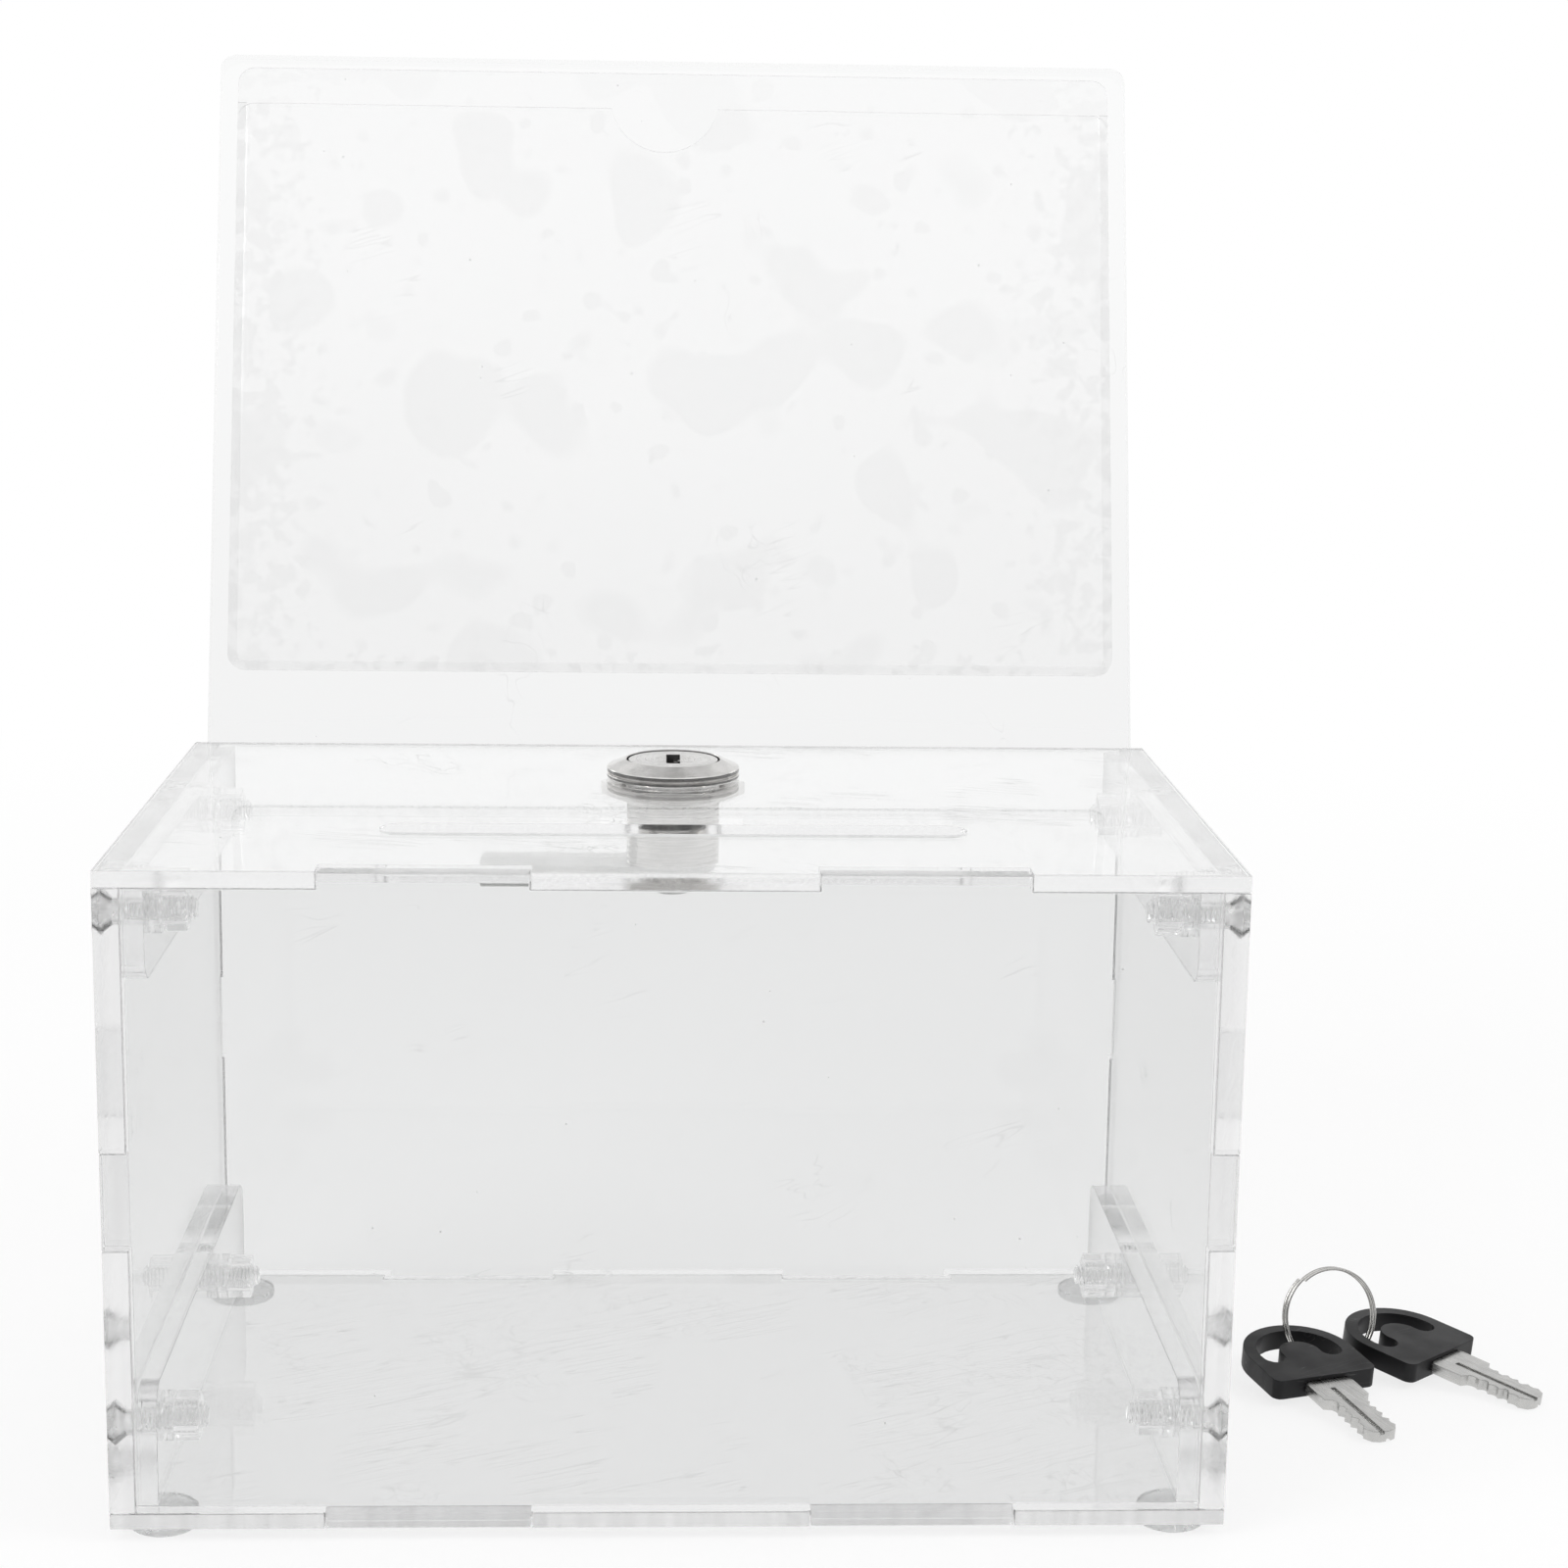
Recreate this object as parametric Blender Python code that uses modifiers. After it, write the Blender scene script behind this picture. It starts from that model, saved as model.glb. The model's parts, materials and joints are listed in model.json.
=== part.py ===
"""A clear raffle box with a lift-off lid, a lock, a sign pocket and two keys on a split ring.

Metres, +Z up, with the front towards -Y. The pieces are built round the box: X is 0 at its middle
and z is 0 at the underside of the floor panel, which stands on four bumper feet. At the end
everything is moved, so that the origin is on the table, at the bottom centre of the whole.
"""

import math

import bmesh
import bpy
from mathutils import Matrix, Vector

MM = 0.001

# The bottom centre of the bounding box of all the pieces, as they are built round the box
BOTTOM_CENTRE = (33.2 * MM, 18.6 * MM, -2 * MM)

# Sheets of the box
WIDTH = 175 * MM
DEPTH = 112 * MM
WALL = 4 * MM
FLOOR = 2.5 * MM
LID = 2.5 * MM
LID_UNDERSIDE = 102.8 * MM
LID_TOP = LID_UNDERSIDE + LID
GAP = 0.2 * MM
HALF_WIDTH = WIDTH / 2
HALF_DEPTH = DEPTH / 2
SIDE_INNER = HALF_WIDTH - WALL
WALL_INNER = HALF_DEPTH - WALL
WALL_BOTTOM = FLOOR + GAP
WALL_TOP = LID_UNDERSIDE - GAP

# Finger joints between the sheets
TAB_FROM = 22 * MM
TAB_TO = 54 * MM
SIDE_TAB_FROM = 45.6 * MM
SIDE_TAB_TO = 61 * MM
LID_NOTCH_DEPTH = 5.3 * MM
BACK_TAB_TO = 53 * MM

# Header: the back sheet bent backwards above the lid
HEADER_HALF = 85.5 * MM
HEADER_LENGTH = 132.5 * MM
HEADER_LEAN = math.radians(16.4)
HEADER_CORNER = 3 * MM
BEND_INNER = 6 * MM

# Slot in the lid for the tickets
SLOT_LENGTH = 94.5 * MM
SLOT_WIDTH = 7.3 * MM
SLOT_Y = -23.5 * MM

# Rails inside the side panels, and the plastic screws through both
RAIL = 3 * MM
RAIL_END = 51.7 * MM
RAIL_CORNER = 4.5 * MM
TOP_RAIL_FROM = 87 * MM
BOTTOM_RAIL_TO = 22 * MM
SCREW_Y = (-44 * MM, 19 * MM)
SCREW_Z = {"top": 97.3 * MM, "bottom": 14.6 * MM}
SCREW_RADIUS = 1.9 * MM
SCREW_HEAD_RADIUS = 3.6 * MM
SCREW_CLEARANCE = 0.2 * MM
SCREW_TIP = 73.2 * MM
WASHER = 1.5 * MM
WASHER_RADIUS = 4 * MM
NUT = 3.8 * MM
NUT_ACROSS_FLATS = 7 * MM

# Bumper feet
FOOT_RADIUS = 5.6 * MM
FOOT_HEIGHT = 2 * MM
FOOT_X = 80 * MM
FOOT_Y = (-49.5 * MM, 48 * MM)
TABLE = -FOOT_HEIGHT

# Lock through the lid
LOCK_Y = 20.5 * MM
LOCK_HEAD_RADIUS = 11.55 * MM
LOCK_HEAD_HEIGHT = 3.4 * MM
LOCK_FACE_RADIUS = 8.2 * MM
LOCK_BODY_RADIUS = 9.1 * MM
LOCK_HALF_FLAT = 8 * MM
LOCK_BODY_END = 88.8 * MM
LOCK_BORE_RADIUS = 6.5 * MM
LOCK_NUT = 2.3 * MM
LOCK_NUT_ACROSS_FLATS = 22 * MM
KEYHOLE = (2.4 * MM, 8.4 * MM, 15 * MM)
CAM = 1.4 * MM
CAM_TOP = 88.5 * MM
CAM_REACH = 33.8 * MM
CAM_HALF_WIDTH = 5.5 * MM
CAM_HUB_RADIUS = 7.5 * MM
TANG = 6.4 * MM
CATCH_SLOT_HALF = 13.4 * MM
CATCH_SLOT_HEIGHT = 3.4 * MM

# Sign pocket on the front of the header, measured up the slope from the bend
POCKET_HALF = 82 * MM
POCKET_FROM = 15.8 * MM
POCKET_TO = 129.9 * MM
POCKET_CORNER = 3 * MM
POCKET_OPENING = 7 * MM
FILM = 0.3 * MM
THUMB_X = -2 * MM
THUMB_HALF = 10 * MM
THUMB_DEPTH = 8.4 * MM

# Keys, in their own frame: u across, v from the top of the head to the tip
HEAD_RADIUS = 10.2 * MM
HEAD_LENGTH = 19.8 * MM
HEAD_THICKNESS = 3.6 * MM
HEAD_CORNER = 1.6 * MM
HEAD_EDGE = 0.6 * MM
RING_SLOT_RADIUS = 5.8 * MM
RING_SLOT_WIDTH = 4.1 * MM
BLADE_TIP = 39.4 * MM
BLADE_THICKNESS = 2 * MM
TONGUE_FROM = 12 * MM
TONGUE_HALF = 3.9 * MM
SHOULDER_HALF = 4.5 * MM
SHOULDER_TO = 26.4 * MM
BLADE_HALF = 3.1 * MM
BITTING = (0.35, 0.8, 0.5, 0.9, 0.4)
GROOVE_WIDTH = 0.9 * MM
GROOVE_DEPTH = 0.5 * MM

# Split ring, and how the keys lie on the table
RING_RADIUS = 8.7 * MM
RING_WIRE = 0.7 * MM
RING_PITCH = 1.13 * MM
RING_TURNS = 2
RING_POINTS_PER_TURN = 24
RING_TILT = math.radians(77)
RING_END = math.radians(126)
KEY_PLACES = {
    "key_1": {"at": (113 * MM, 14 * MM), "heading": math.radians(18.5), "slot": math.radians(20)},
    "key_2": {"at": (127.4 * MM, 17.8 * MM), "heading": math.radians(42), "slot": math.radians(-40)},
}

# Colour, roughness, metallic and transmission of each finish
FINISHES = {
    "acrylic": ((0.93, 0.95, 0.95), 0.04, 0.0, 1.0),
    "clear_nylon": ((0.90, 0.92, 0.92), 0.18, 0.0, 0.9),
    "film": ((0.95, 0.96, 0.96), 0.10, 0.0, 0.95),
    "clear_rubber": ((0.82, 0.83, 0.83), 0.35, 0.0, 0.6),
    "nickel": ((0.72, 0.71, 0.69), 0.18, 1.0, 0.0),
    "zinc": ((0.60, 0.60, 0.59), 0.38, 1.0, 0.0),
    "steel_wire": ((0.66, 0.65, 0.63), 0.22, 1.0, 0.0),
    "black_plastic": ((0.018, 0.018, 0.019), 0.38, 0.0, 0.0),
}

# The plane of an outline: its x and y become two world axes, its thickness the third
PLANES = {
    "top": Matrix(((1, 0, 0), (0, 1, 0), (0, 0, 1))).to_4x4(),
    "front": Matrix(((1, 0, 0), (0, 0, -1), (0, 1, 0))).to_4x4(),
    "side": Matrix(((0, 0, 1), (1, 0, 0), (0, 1, 0))).to_4x4(),
}


# Scene, collections and finishes


def clear_scene():
    for obj in list(bpy.data.objects):
        bpy.data.objects.remove(obj)


def new_collection(name):
    group = bpy.data.collections.new(name)
    bpy.context.scene.collection.children.link(group)
    return group


clear_scene()
PARTS = new_collection("raffle_box")
CUTTERS = new_collection("cutters")


def finish(obj, kind):
    colour, roughness, metallic, transmission = FINISHES[kind]
    material = bpy.data.materials.new(f"{obj.name}_{kind}")
    material.use_nodes = True
    shader = material.node_tree.nodes["Principled BSDF"]
    shader.inputs["Base Color"].default_value = (*colour, 1.0)
    shader.inputs["Roughness"].default_value = roughness
    shader.inputs["Metallic"].default_value = metallic
    shader.inputs["Transmission Weight"].default_value = transmission
    obj.data.materials.clear()
    obj.data.materials.append(material)
    return obj


def add_object(name, data, group):
    obj = bpy.data.objects.new(name, data)
    group.objects.link(obj)
    if group is CUTTERS:
        obj.hide_render = True
        obj.display_type = "WIRE"
    return obj


# Outlines


def arc(centre, radius, start, end, steps):
    """Points on a round stretch, from start to end in degrees."""
    angles = [math.radians(start + (end - start) * i / steps) for i in range(steps + 1)]
    return [(centre[0] + radius * math.cos(a), centre[1] + radius * math.sin(a)) for a in angles]


def circle(centre, radius, steps=24):
    return arc(centre, radius, 0, 360 - 360 / steps, steps - 1)


def mirrored(right):
    """A closed outline from its right half, which runs anticlockwise."""
    return right + [(-x, y) for x, y in reversed(right)]


def rounded_rectangle(x_from, y_from, x_to, y_to, radius, steps=5):
    corners = (
        ((x_to - radius, y_from + radius), -90),
        ((x_to - radius, y_to - radius), 0),
        ((x_from + radius, y_to - radius), 90),
        ((x_from + radius, y_from + radius), 180),
    )
    return [point for centre, start in corners for point in arc(centre, radius, start, start + 90, steps)]


def hexagon(across_flats):
    return arc((0, 0), across_flats / math.sqrt(3), 0, 300, 5)


def double_d(radius, half_flat, steps=8):
    """A circle with two flats that face +X and -X."""
    flat = math.degrees(math.acos(half_flat / radius))
    upper = arc((0, 0), radius, flat, 180 - flat, steps)
    return upper + [(-x, -y) for x, y in upper]


# Solids


def mesh_from_curve(curve, name, group):
    """The curve's evaluated mesh as an object in its place, its caps welded on and without slivers."""
    graph = bpy.context.evaluated_depsgraph_get()
    mesh = bpy.data.meshes.new_from_object(curve.evaluated_get(graph))
    shape = bmesh.new()
    shape.from_mesh(mesh)
    bmesh.ops.remove_doubles(shape, verts=shape.verts, dist=0.001 * MM)
    caps = [face for face in shape.faces if len({round(vert.co.z / MM, 3) for vert in face.verts}) == 1]
    inner = [edge for edge in shape.edges if all(face in caps for face in edge.link_faces)]
    bmesh.ops.beautify_fill(shape, faces=caps, edges=inner, method="ANGLE")
    shape.to_mesh(mesh)
    shape.free()
    mesh.name = name
    place = curve.matrix_world.copy()
    bpy.data.objects.remove(curve)
    obj = add_object(name, mesh, group)
    obj.matrix_world = place
    return obj


def sheet(name, outlines, thickness, plane="top", at=(0, 0, 0), group=PARTS):
    """A flat piece: outlines filled between each other, with its mid-plane at the given place."""
    data = bpy.data.curves.new(name, "CURVE")
    data.dimensions = "2D"
    data.fill_mode = "BOTH"
    data.extrude = thickness / 2
    for outline in outlines:
        spline = data.splines.new("POLY")
        spline.points.add(len(outline) - 1)
        for point, (x, y) in zip(spline.points, outline):
            point.co = (x, y, 0, 1)
        spline.use_cyclic_u = True
    curve = add_object(f"{name}_outline", data, group)
    curve.matrix_world = Matrix.Translation(at) @ PLANES[plane]
    bpy.context.view_layer.update()
    return mesh_from_curve(curve, name, group)


def turned(name, profile, at=(0, 0, 0), closed=False, steps=32, group=PARTS):
    """A piece turned about Z from (radius, height) points that run down its outer side."""
    data = bpy.data.meshes.new(name)
    edges = [(i, i + 1) for i in range(len(profile) - 1)]
    if closed:
        edges.append((len(profile) - 1, 0))
    data.from_pydata([(radius, 0, height) for radius, height in profile], edges, [])
    obj = add_object(name, data, group)
    obj.location = at
    screw = obj.modifiers.new("turn", "SCREW")
    screw.axis = "Z"
    screw.steps = steps
    screw.render_steps = steps
    screw.use_smooth_shade = True
    screw.use_merge_vertices = True
    screw.merge_threshold = 0.001 * MM
    return obj


def block(name, low, high, group=CUTTERS):
    """A box between two corners."""
    data = bpy.data.meshes.new(name)
    shape = bmesh.new()
    bmesh.ops.create_cube(shape, size=1)
    size = Vector(high) - Vector(low)
    bmesh.ops.scale(shape, vec=size, verts=shape.verts)
    shape.to_mesh(data)
    shape.free()
    obj = add_object(name, data, group)
    obj.location = (Vector(high) + Vector(low)) / 2
    return obj


def cone(name, radius_low, radius_high, depth, place, steps=24):
    """A cutter along its own Z, centred on the given matrix."""
    data = bpy.data.meshes.new(name)
    shape = bmesh.new()
    bmesh.ops.create_cone(
        shape, cap_ends=True, segments=steps, radius1=radius_low, radius2=radius_high, depth=depth
    )
    shape.to_mesh(data)
    shape.free()
    obj = add_object(name, data, CUTTERS)
    obj.matrix_world = place
    return obj


def boolean(obj, other, operation="DIFFERENCE"):
    modifier = obj.modifiers.new(operation.lower(), "BOOLEAN")
    modifier.operation = operation
    modifier.solver = "EXACT"
    modifier.object = other
    return obj


def round_edges(obj, width, segments=2):
    bevel = obj.modifiers.new("edges", "BEVEL")
    bevel.width = width
    bevel.segments = segments
    bevel.limit_method = "ANGLE"
    bevel.angle_limit = math.radians(50)
    return obj


# Box sheets


def front_panel():
    right = [
        (TAB_FROM, WALL_BOTTOM),
        (TAB_FROM, GAP / 2),
        (TAB_TO, GAP / 2),
        (TAB_TO, WALL_BOTTOM),
        (SIDE_INNER - GAP, WALL_BOTTOM),
        (SIDE_INNER - GAP, SIDE_TAB_FROM),
        (HALF_WIDTH, SIDE_TAB_FROM),
        (HALF_WIDTH, SIDE_TAB_TO),
        (SIDE_INNER - GAP, SIDE_TAB_TO),
        (SIDE_INNER - GAP, WALL_TOP),
        (TAB_TO, WALL_TOP),
        (TAB_TO, LID_TOP - GAP),
        (TAB_FROM, LID_TOP - GAP),
        (TAB_FROM, WALL_TOP),
    ]
    middle = (0, -HALF_DEPTH + WALL / 2, 0)
    return finish(sheet("front_panel", [mirrored(right)], WALL, "front", middle), "acrylic")


def bent_sheet_profile():
    """The back sheet seen from its end: straight up, bent, then leaning back, in (y, z)."""
    lean = math.degrees(HEADER_LEAN)
    outer_radius = BEND_INNER + WALL
    bend_z = LID_UNDERSIDE - outer_radius * math.tan(HEADER_LEAN / 2)
    centre = (HALF_DEPTH + BEND_INNER, bend_z)
    front = arc(centre, outer_radius, 180, 180 - lean, 4)
    rear = arc(centre, BEND_INNER, 180 - lean, 180, 4)
    rise = HEADER_LENGTH - outer_radius * math.tan(HEADER_LEAN / 2)
    step = (math.sin(HEADER_LEAN) * rise, math.cos(HEADER_LEAN) * rise)
    front_top = (front[-1][0] + step[0], front[-1][1] + step[1])
    rear_top = (rear[0][0] + step[0], rear[0][1] + step[1])
    return [(WALL_INNER, GAP / 2)] + front + [front_top, rear_top] + rear + [(HALF_DEPTH, GAP / 2)]


def back_panel():
    header_top = LID_UNDERSIDE + HEADER_LENGTH * math.cos(HEADER_LEAN)
    right = [
        (TAB_FROM, WALL_BOTTOM),
        (TAB_FROM, -WALL),
        (BACK_TAB_TO, -WALL),
        (BACK_TAB_TO, WALL_BOTTOM),
        (SIDE_INNER - GAP, WALL_BOTTOM),
        (SIDE_INNER - GAP, SIDE_TAB_FROM),
        (HALF_WIDTH, SIDE_TAB_FROM),
        (HALF_WIDTH, SIDE_TAB_TO),
        (SIDE_INNER - GAP, SIDE_TAB_TO),
        (SIDE_INNER - GAP, LID_UNDERSIDE),
        (HEADER_HALF, LID_UNDERSIDE),
    ]
    corner = (HEADER_HALF - HEADER_CORNER, header_top - HEADER_CORNER)
    right += arc(corner, HEADER_CORNER, 0, 90, 6)
    profile = [(y, z) for y, z in reversed(bent_sheet_profile())]
    panel = sheet("back_panel", [profile], WIDTH + 2 * WALL, "side")
    shape = sheet("back_panel_shape", [mirrored(right)], 2 * DEPTH, "front", group=CUTTERS)
    boolean(panel, shape, "INTERSECT")
    catch_middle = CAM_TOP - CAM / 2
    catch = block(
        "catch_slot_cutter",
        (-CATCH_SLOT_HALF, WALL_INNER - WALL, catch_middle - CATCH_SLOT_HEIGHT / 2),
        (CATCH_SLOT_HALF, HALF_DEPTH + WALL, catch_middle + CATCH_SLOT_HEIGHT / 2),
    )
    return finish(boolean(panel, catch), "acrylic")


def floor_panel():
    inner, outer, inset = TAB_FROM - GAP, TAB_TO + GAP, WALL_INNER - GAP
    right = [
        (inner, -HALF_DEPTH),
        (inner, -inset),
        (outer, -inset),
        (outer, -HALF_DEPTH),
        (HALF_WIDTH, -HALF_DEPTH),
        (HALF_WIDTH, HALF_DEPTH),
        (outer, HALF_DEPTH),
        (outer, inset),
        (inner, inset),
        (inner, HALF_DEPTH),
    ]
    return finish(sheet("floor_panel", [mirrored(right)], FLOOR, at=(0, 0, FLOOR / 2)), "acrylic")


def lid():
    inner, outer = TAB_FROM - GAP, TAB_TO + GAP
    notch = -HALF_DEPTH + LID_NOTCH_DEPTH
    rear = WALL_INNER - 1.5 * GAP
    right = [
        (inner, -HALF_DEPTH),
        (inner, notch),
        (outer, notch),
        (outer, -HALF_DEPTH),
        (HALF_WIDTH, -HALF_DEPTH),
        (HALF_WIDTH, rear),
    ]
    half_slot = SLOT_LENGTH / 2
    slot = rounded_rectangle(
        -half_slot, SLOT_Y - SLOT_WIDTH / 2, half_slot, SLOT_Y + SLOT_WIDTH / 2, SLOT_WIDTH / 2, 8
    )
    hole = [
        (x, y + LOCK_Y) for x, y in double_d(LOCK_BODY_RADIUS + GAP, LOCK_HALF_FLAT + GAP)
    ]
    middle = (0, 0, LID_UNDERSIDE + LID / 2)
    return finish(sheet("lid", [mirrored(right), slot, hole], LID, at=middle), "acrylic")


def side_panel(name, side):
    inset = WALL_INNER - GAP
    right = [
        (HALF_DEPTH, WALL_BOTTOM),
        (HALF_DEPTH, SIDE_TAB_FROM - GAP),
        (inset, SIDE_TAB_FROM - GAP),
        (inset, SIDE_TAB_TO + GAP),
        (HALF_DEPTH, SIDE_TAB_TO + GAP),
        (HALF_DEPTH, WALL_TOP),
    ]
    middle = side * (SIDE_INNER + WALL / 2)
    panel = sheet(name, [mirrored(right)] + screw_holes("top", "bottom"), WALL, "side", (middle, 0, 0))
    radius = SCREW_HEAD_RADIUS + SCREW_CLEARANCE
    for level, z in SCREW_Z.items():
        for index, y in enumerate(SCREW_Y):
            face = Matrix.Translation((side * HALF_WIDTH, y, z)) @ outward(side)
            sink = cone(f"{name}_sink_{level}_{index}", 0.2 * MM, 2 * radius - 0.2 * MM, 2 * radius, face)
            boolean(panel, sink)
    return finish(panel, "acrylic")


# Rails, screws, washers, nuts and feet


def outward(side):
    """Turns +Z to the right (side 1) or to the left (side -1)."""
    return Matrix.Rotation(side * math.pi / 2, 4, "Y")


def screw_holes(*levels):
    radius = SCREW_RADIUS + SCREW_CLEARANCE
    return [circle((y, SCREW_Z[level]), radius, 20) for level in levels for y in SCREW_Y]


def rail(name, side, level):
    """A strip along the inside of a side panel, its corners away from the joint rounded."""
    middle = (side * (SIDE_INNER - GAP - RAIL / 2), 0, 0)
    if level == "top":
        corner = (RAIL_END - RAIL_CORNER, TOP_RAIL_FROM + RAIL_CORNER)
        right = arc(corner, RAIL_CORNER, -90, 0, 6) + [(RAIL_END, WALL_TOP - GAP)]
    else:
        corner = (RAIL_END - RAIL_CORNER, BOTTOM_RAIL_TO - RAIL_CORNER)
        right = [(RAIL_END, WALL_BOTTOM)] + arc(corner, RAIL_CORNER, 0, 90, 6)
    return finish(sheet(name, [mirrored(right)] + screw_holes(level), RAIL, "side", middle), "acrylic")


def fastener(place, side, y, z, turn):
    """One plastic screw from outside, with its washer and nut inside the rail."""
    at = Vector((0, y, z))
    head = HALF_WIDTH - 0.1 * MM
    cone_depth = SCREW_HEAD_RADIUS - SCREW_RADIUS
    chamfer = 0.4 * MM
    profile = [
        (0, head),
        (SCREW_HEAD_RADIUS, head),
        (SCREW_RADIUS, head - cone_depth),
        (SCREW_RADIUS, SCREW_TIP + chamfer),
        (SCREW_RADIUS - chamfer, SCREW_TIP),
        (0, SCREW_TIP),
    ]
    screw = turned(f"screw_{place}", profile, steps=20)
    screw.matrix_world = Matrix.Translation(at) @ outward(side)
    half = 0.5 * MM
    driver = block(
        f"screw_{place}_slot",
        (-half, -2 * SCREW_HEAD_RADIUS, head - 1.1 * MM),
        (half, 2 * SCREW_HEAD_RADIUS, head + 1 * MM),
    )
    driver.matrix_world = screw.matrix_world @ Matrix.Rotation(turn, 4, "Z") @ driver.matrix_basis
    finish(boolean(screw, driver), "clear_nylon")

    rail_face = SIDE_INNER - GAP - RAIL
    bore = circle((0, 0), SCREW_RADIUS + SCREW_CLEARANCE, 20)
    washer_at = at + Vector((side * (rail_face - GAP - WASHER / 2), 0, 0))
    ring = circle((0, 0), WASHER_RADIUS, 24)
    finish(sheet(f"washer_{place}", [ring, bore], WASHER, "side", washer_at), "clear_nylon")
    nut_at = at + Vector((side * (rail_face - 2 * GAP - WASHER - NUT / 2), 0, 0))
    nut = sheet(f"nut_{place}", [hexagon(NUT_ACROSS_FLATS), bore], NUT, "side", nut_at)
    nut.matrix_world = nut.matrix_world @ Matrix.Rotation(turn, 4, "Z")
    finish(nut, "clear_nylon")


def fasteners():
    turn_step = math.radians(37)
    count = 0
    for side_name, side in (("left", -1), ("right", 1)):
        for level, z in SCREW_Z.items():
            for end, y in zip(("front", "rear"), SCREW_Y):
                fastener(f"{side_name}_{level}_{end}", side, y, z, count * turn_step)
                count += 1


def feet():
    rounding = 0.9 * MM
    top = -GAP / 2
    rim = arc((FOOT_RADIUS - rounding, TABLE + rounding), rounding, 0, -90, 4)
    profile = [(0, top), (FOOT_RADIUS, top)] + rim + [(0, TABLE)]
    for side_name, side in (("left", -1), ("right", 1)):
        for end, y in zip(("front", "rear"), FOOT_Y):
            foot = turned(f"foot_{side_name}_{end}", profile, (side * FOOT_X, y, 0), steps=28)
            finish(foot, "clear_rubber")


# Lock


def lock_housing():
    """Head above the lid, threaded body with two flats below it, bored for the plug."""
    rim_low = LID_TOP + GAP
    face = LID_TOP + LOCK_HEAD_HEIGHT
    rim_top = face - 1.4 * MM
    groove = (rim_top + rim_low) / 2
    groove_depth = 0.4 * MM
    neck = LOCK_HALF_FLAT - 0.1 * MM
    neck_end = LID_TOP - 0.4 * MM
    seat = face - 1.8 * MM
    rounding = 0.8 * MM
    profile = [
        (LOCK_FACE_RADIUS, face),
        (LOCK_HEAD_RADIUS - 0.2 * MM, rim_top + 0.15 * MM),
        (LOCK_HEAD_RADIUS, rim_top),
        (LOCK_HEAD_RADIUS, groove + 0.25 * MM),
        (LOCK_HEAD_RADIUS - groove_depth, groove + 0.12 * MM),
        (LOCK_HEAD_RADIUS - groove_depth, groove - 0.12 * MM),
        (LOCK_HEAD_RADIUS, groove - 0.25 * MM),
        (LOCK_HEAD_RADIUS, rim_low + 0.25 * MM),
        (LOCK_HEAD_RADIUS - 0.25 * MM, rim_low),
        (neck, rim_low),
        (neck, neck_end),
        (LOCK_BODY_RADIUS, neck_end),
        (LOCK_BODY_RADIUS, LOCK_BODY_END + rounding),
        (LOCK_BODY_RADIUS - rounding / 3, LOCK_BODY_END + rounding / 3),
        (LOCK_BODY_RADIUS - rounding, LOCK_BODY_END),
        (LOCK_BORE_RADIUS, LOCK_BODY_END),
        (LOCK_BORE_RADIUS, seat),
        (LOCK_FACE_RADIUS - 0.1 * MM, seat),
    ]
    body = turned("lock_housing", profile, (0, LOCK_Y, 0), closed=True, steps=40)
    for side, name in ((-1, "left"), (1, "right")):
        near, far = side * LOCK_HALF_FLAT, side * 2 * LOCK_BODY_RADIUS
        flat = block(
            f"lock_flat_{name}",
            (min(near, far), LOCK_Y - 2 * LOCK_BODY_RADIUS, LOCK_BODY_END - WALL),
            (max(near, far), LOCK_Y + 2 * LOCK_BODY_RADIUS, (neck_end + rim_low) / 2),
        )
        boolean(body, flat)
    return finish(body, "nickel")


def lock_nut():
    bore = circle((0, 0), LOCK_BODY_RADIUS + GAP, 32)
    middle = (0, LOCK_Y, LID_UNDERSIDE - GAP - LOCK_NUT / 2)
    return finish(sheet("lock_nut", [hexagon(LOCK_NUT_ACROSS_FLATS), bore], LOCK_NUT, at=middle), "nickel")


def lock_plug():
    """The part that the key turns: face, barrel and a square tang for the cam, keyway from above."""
    face = LID_TOP + LOCK_HEAD_HEIGHT - 0.15 * MM
    seat = LID_TOP + LOCK_HEAD_HEIGHT - 1.6 * MM
    face_radius = LOCK_FACE_RADIUS - 0.25 * MM
    barrel = LOCK_BORE_RADIUS - 0.2 * MM
    tang_top = CAM_TOP + 0.1 * MM
    tang_end = CAM_TOP - CAM + 0.1 * MM
    dish_radius, dish_depth = 3 * MM, 0.45 * MM
    profile = [
        (0, face - dish_depth),
        (dish_radius * 0.6, face - dish_depth * 0.8),
        (dish_radius, face),
        (face_radius - 0.15 * MM, face),
        (face_radius, face - 0.15 * MM),
        (face_radius, seat),
        (barrel, seat),
        (barrel, tang_top),
        (barrel, tang_end),
        (0, tang_end),
    ]
    plug = turned("lock_plug", profile, (0, LOCK_Y, 0), steps=40)
    half = TANG / 2
    far = 2 * LOCK_BODY_RADIUS
    sides = (
        ("left", (-far, -far), (-half, far)),
        ("right", (half, -far), (far, far)),
        ("front", (-far, -far), (far, -half)),
        ("rear", (-far, half), (far, far)),
    )
    for name, low, high in sides:
        flat = block(
            f"tang_{name}",
            (low[0], LOCK_Y + low[1], tang_end - WALL),
            (high[0], LOCK_Y + high[1], tang_top),
        )
        boolean(plug, flat)
    width, length, depth = KEYHOLE
    keyhole = block(
        "keyhole_cutter",
        (-width / 2, LOCK_Y - length / 2, face - depth),
        (width / 2, LOCK_Y + length / 2, face + WALL),
    )
    boolean(plug, keyhole)
    bore_top = face - depth - 1 * MM
    bore = cone(
        "cam_screw_hole",
        2.2 * MM,
        2.2 * MM,
        2 * (bore_top - tang_end),
        Matrix.Translation((0, LOCK_Y, tang_end)),
    )
    return finish(boolean(plug, bore), "nickel")


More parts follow.
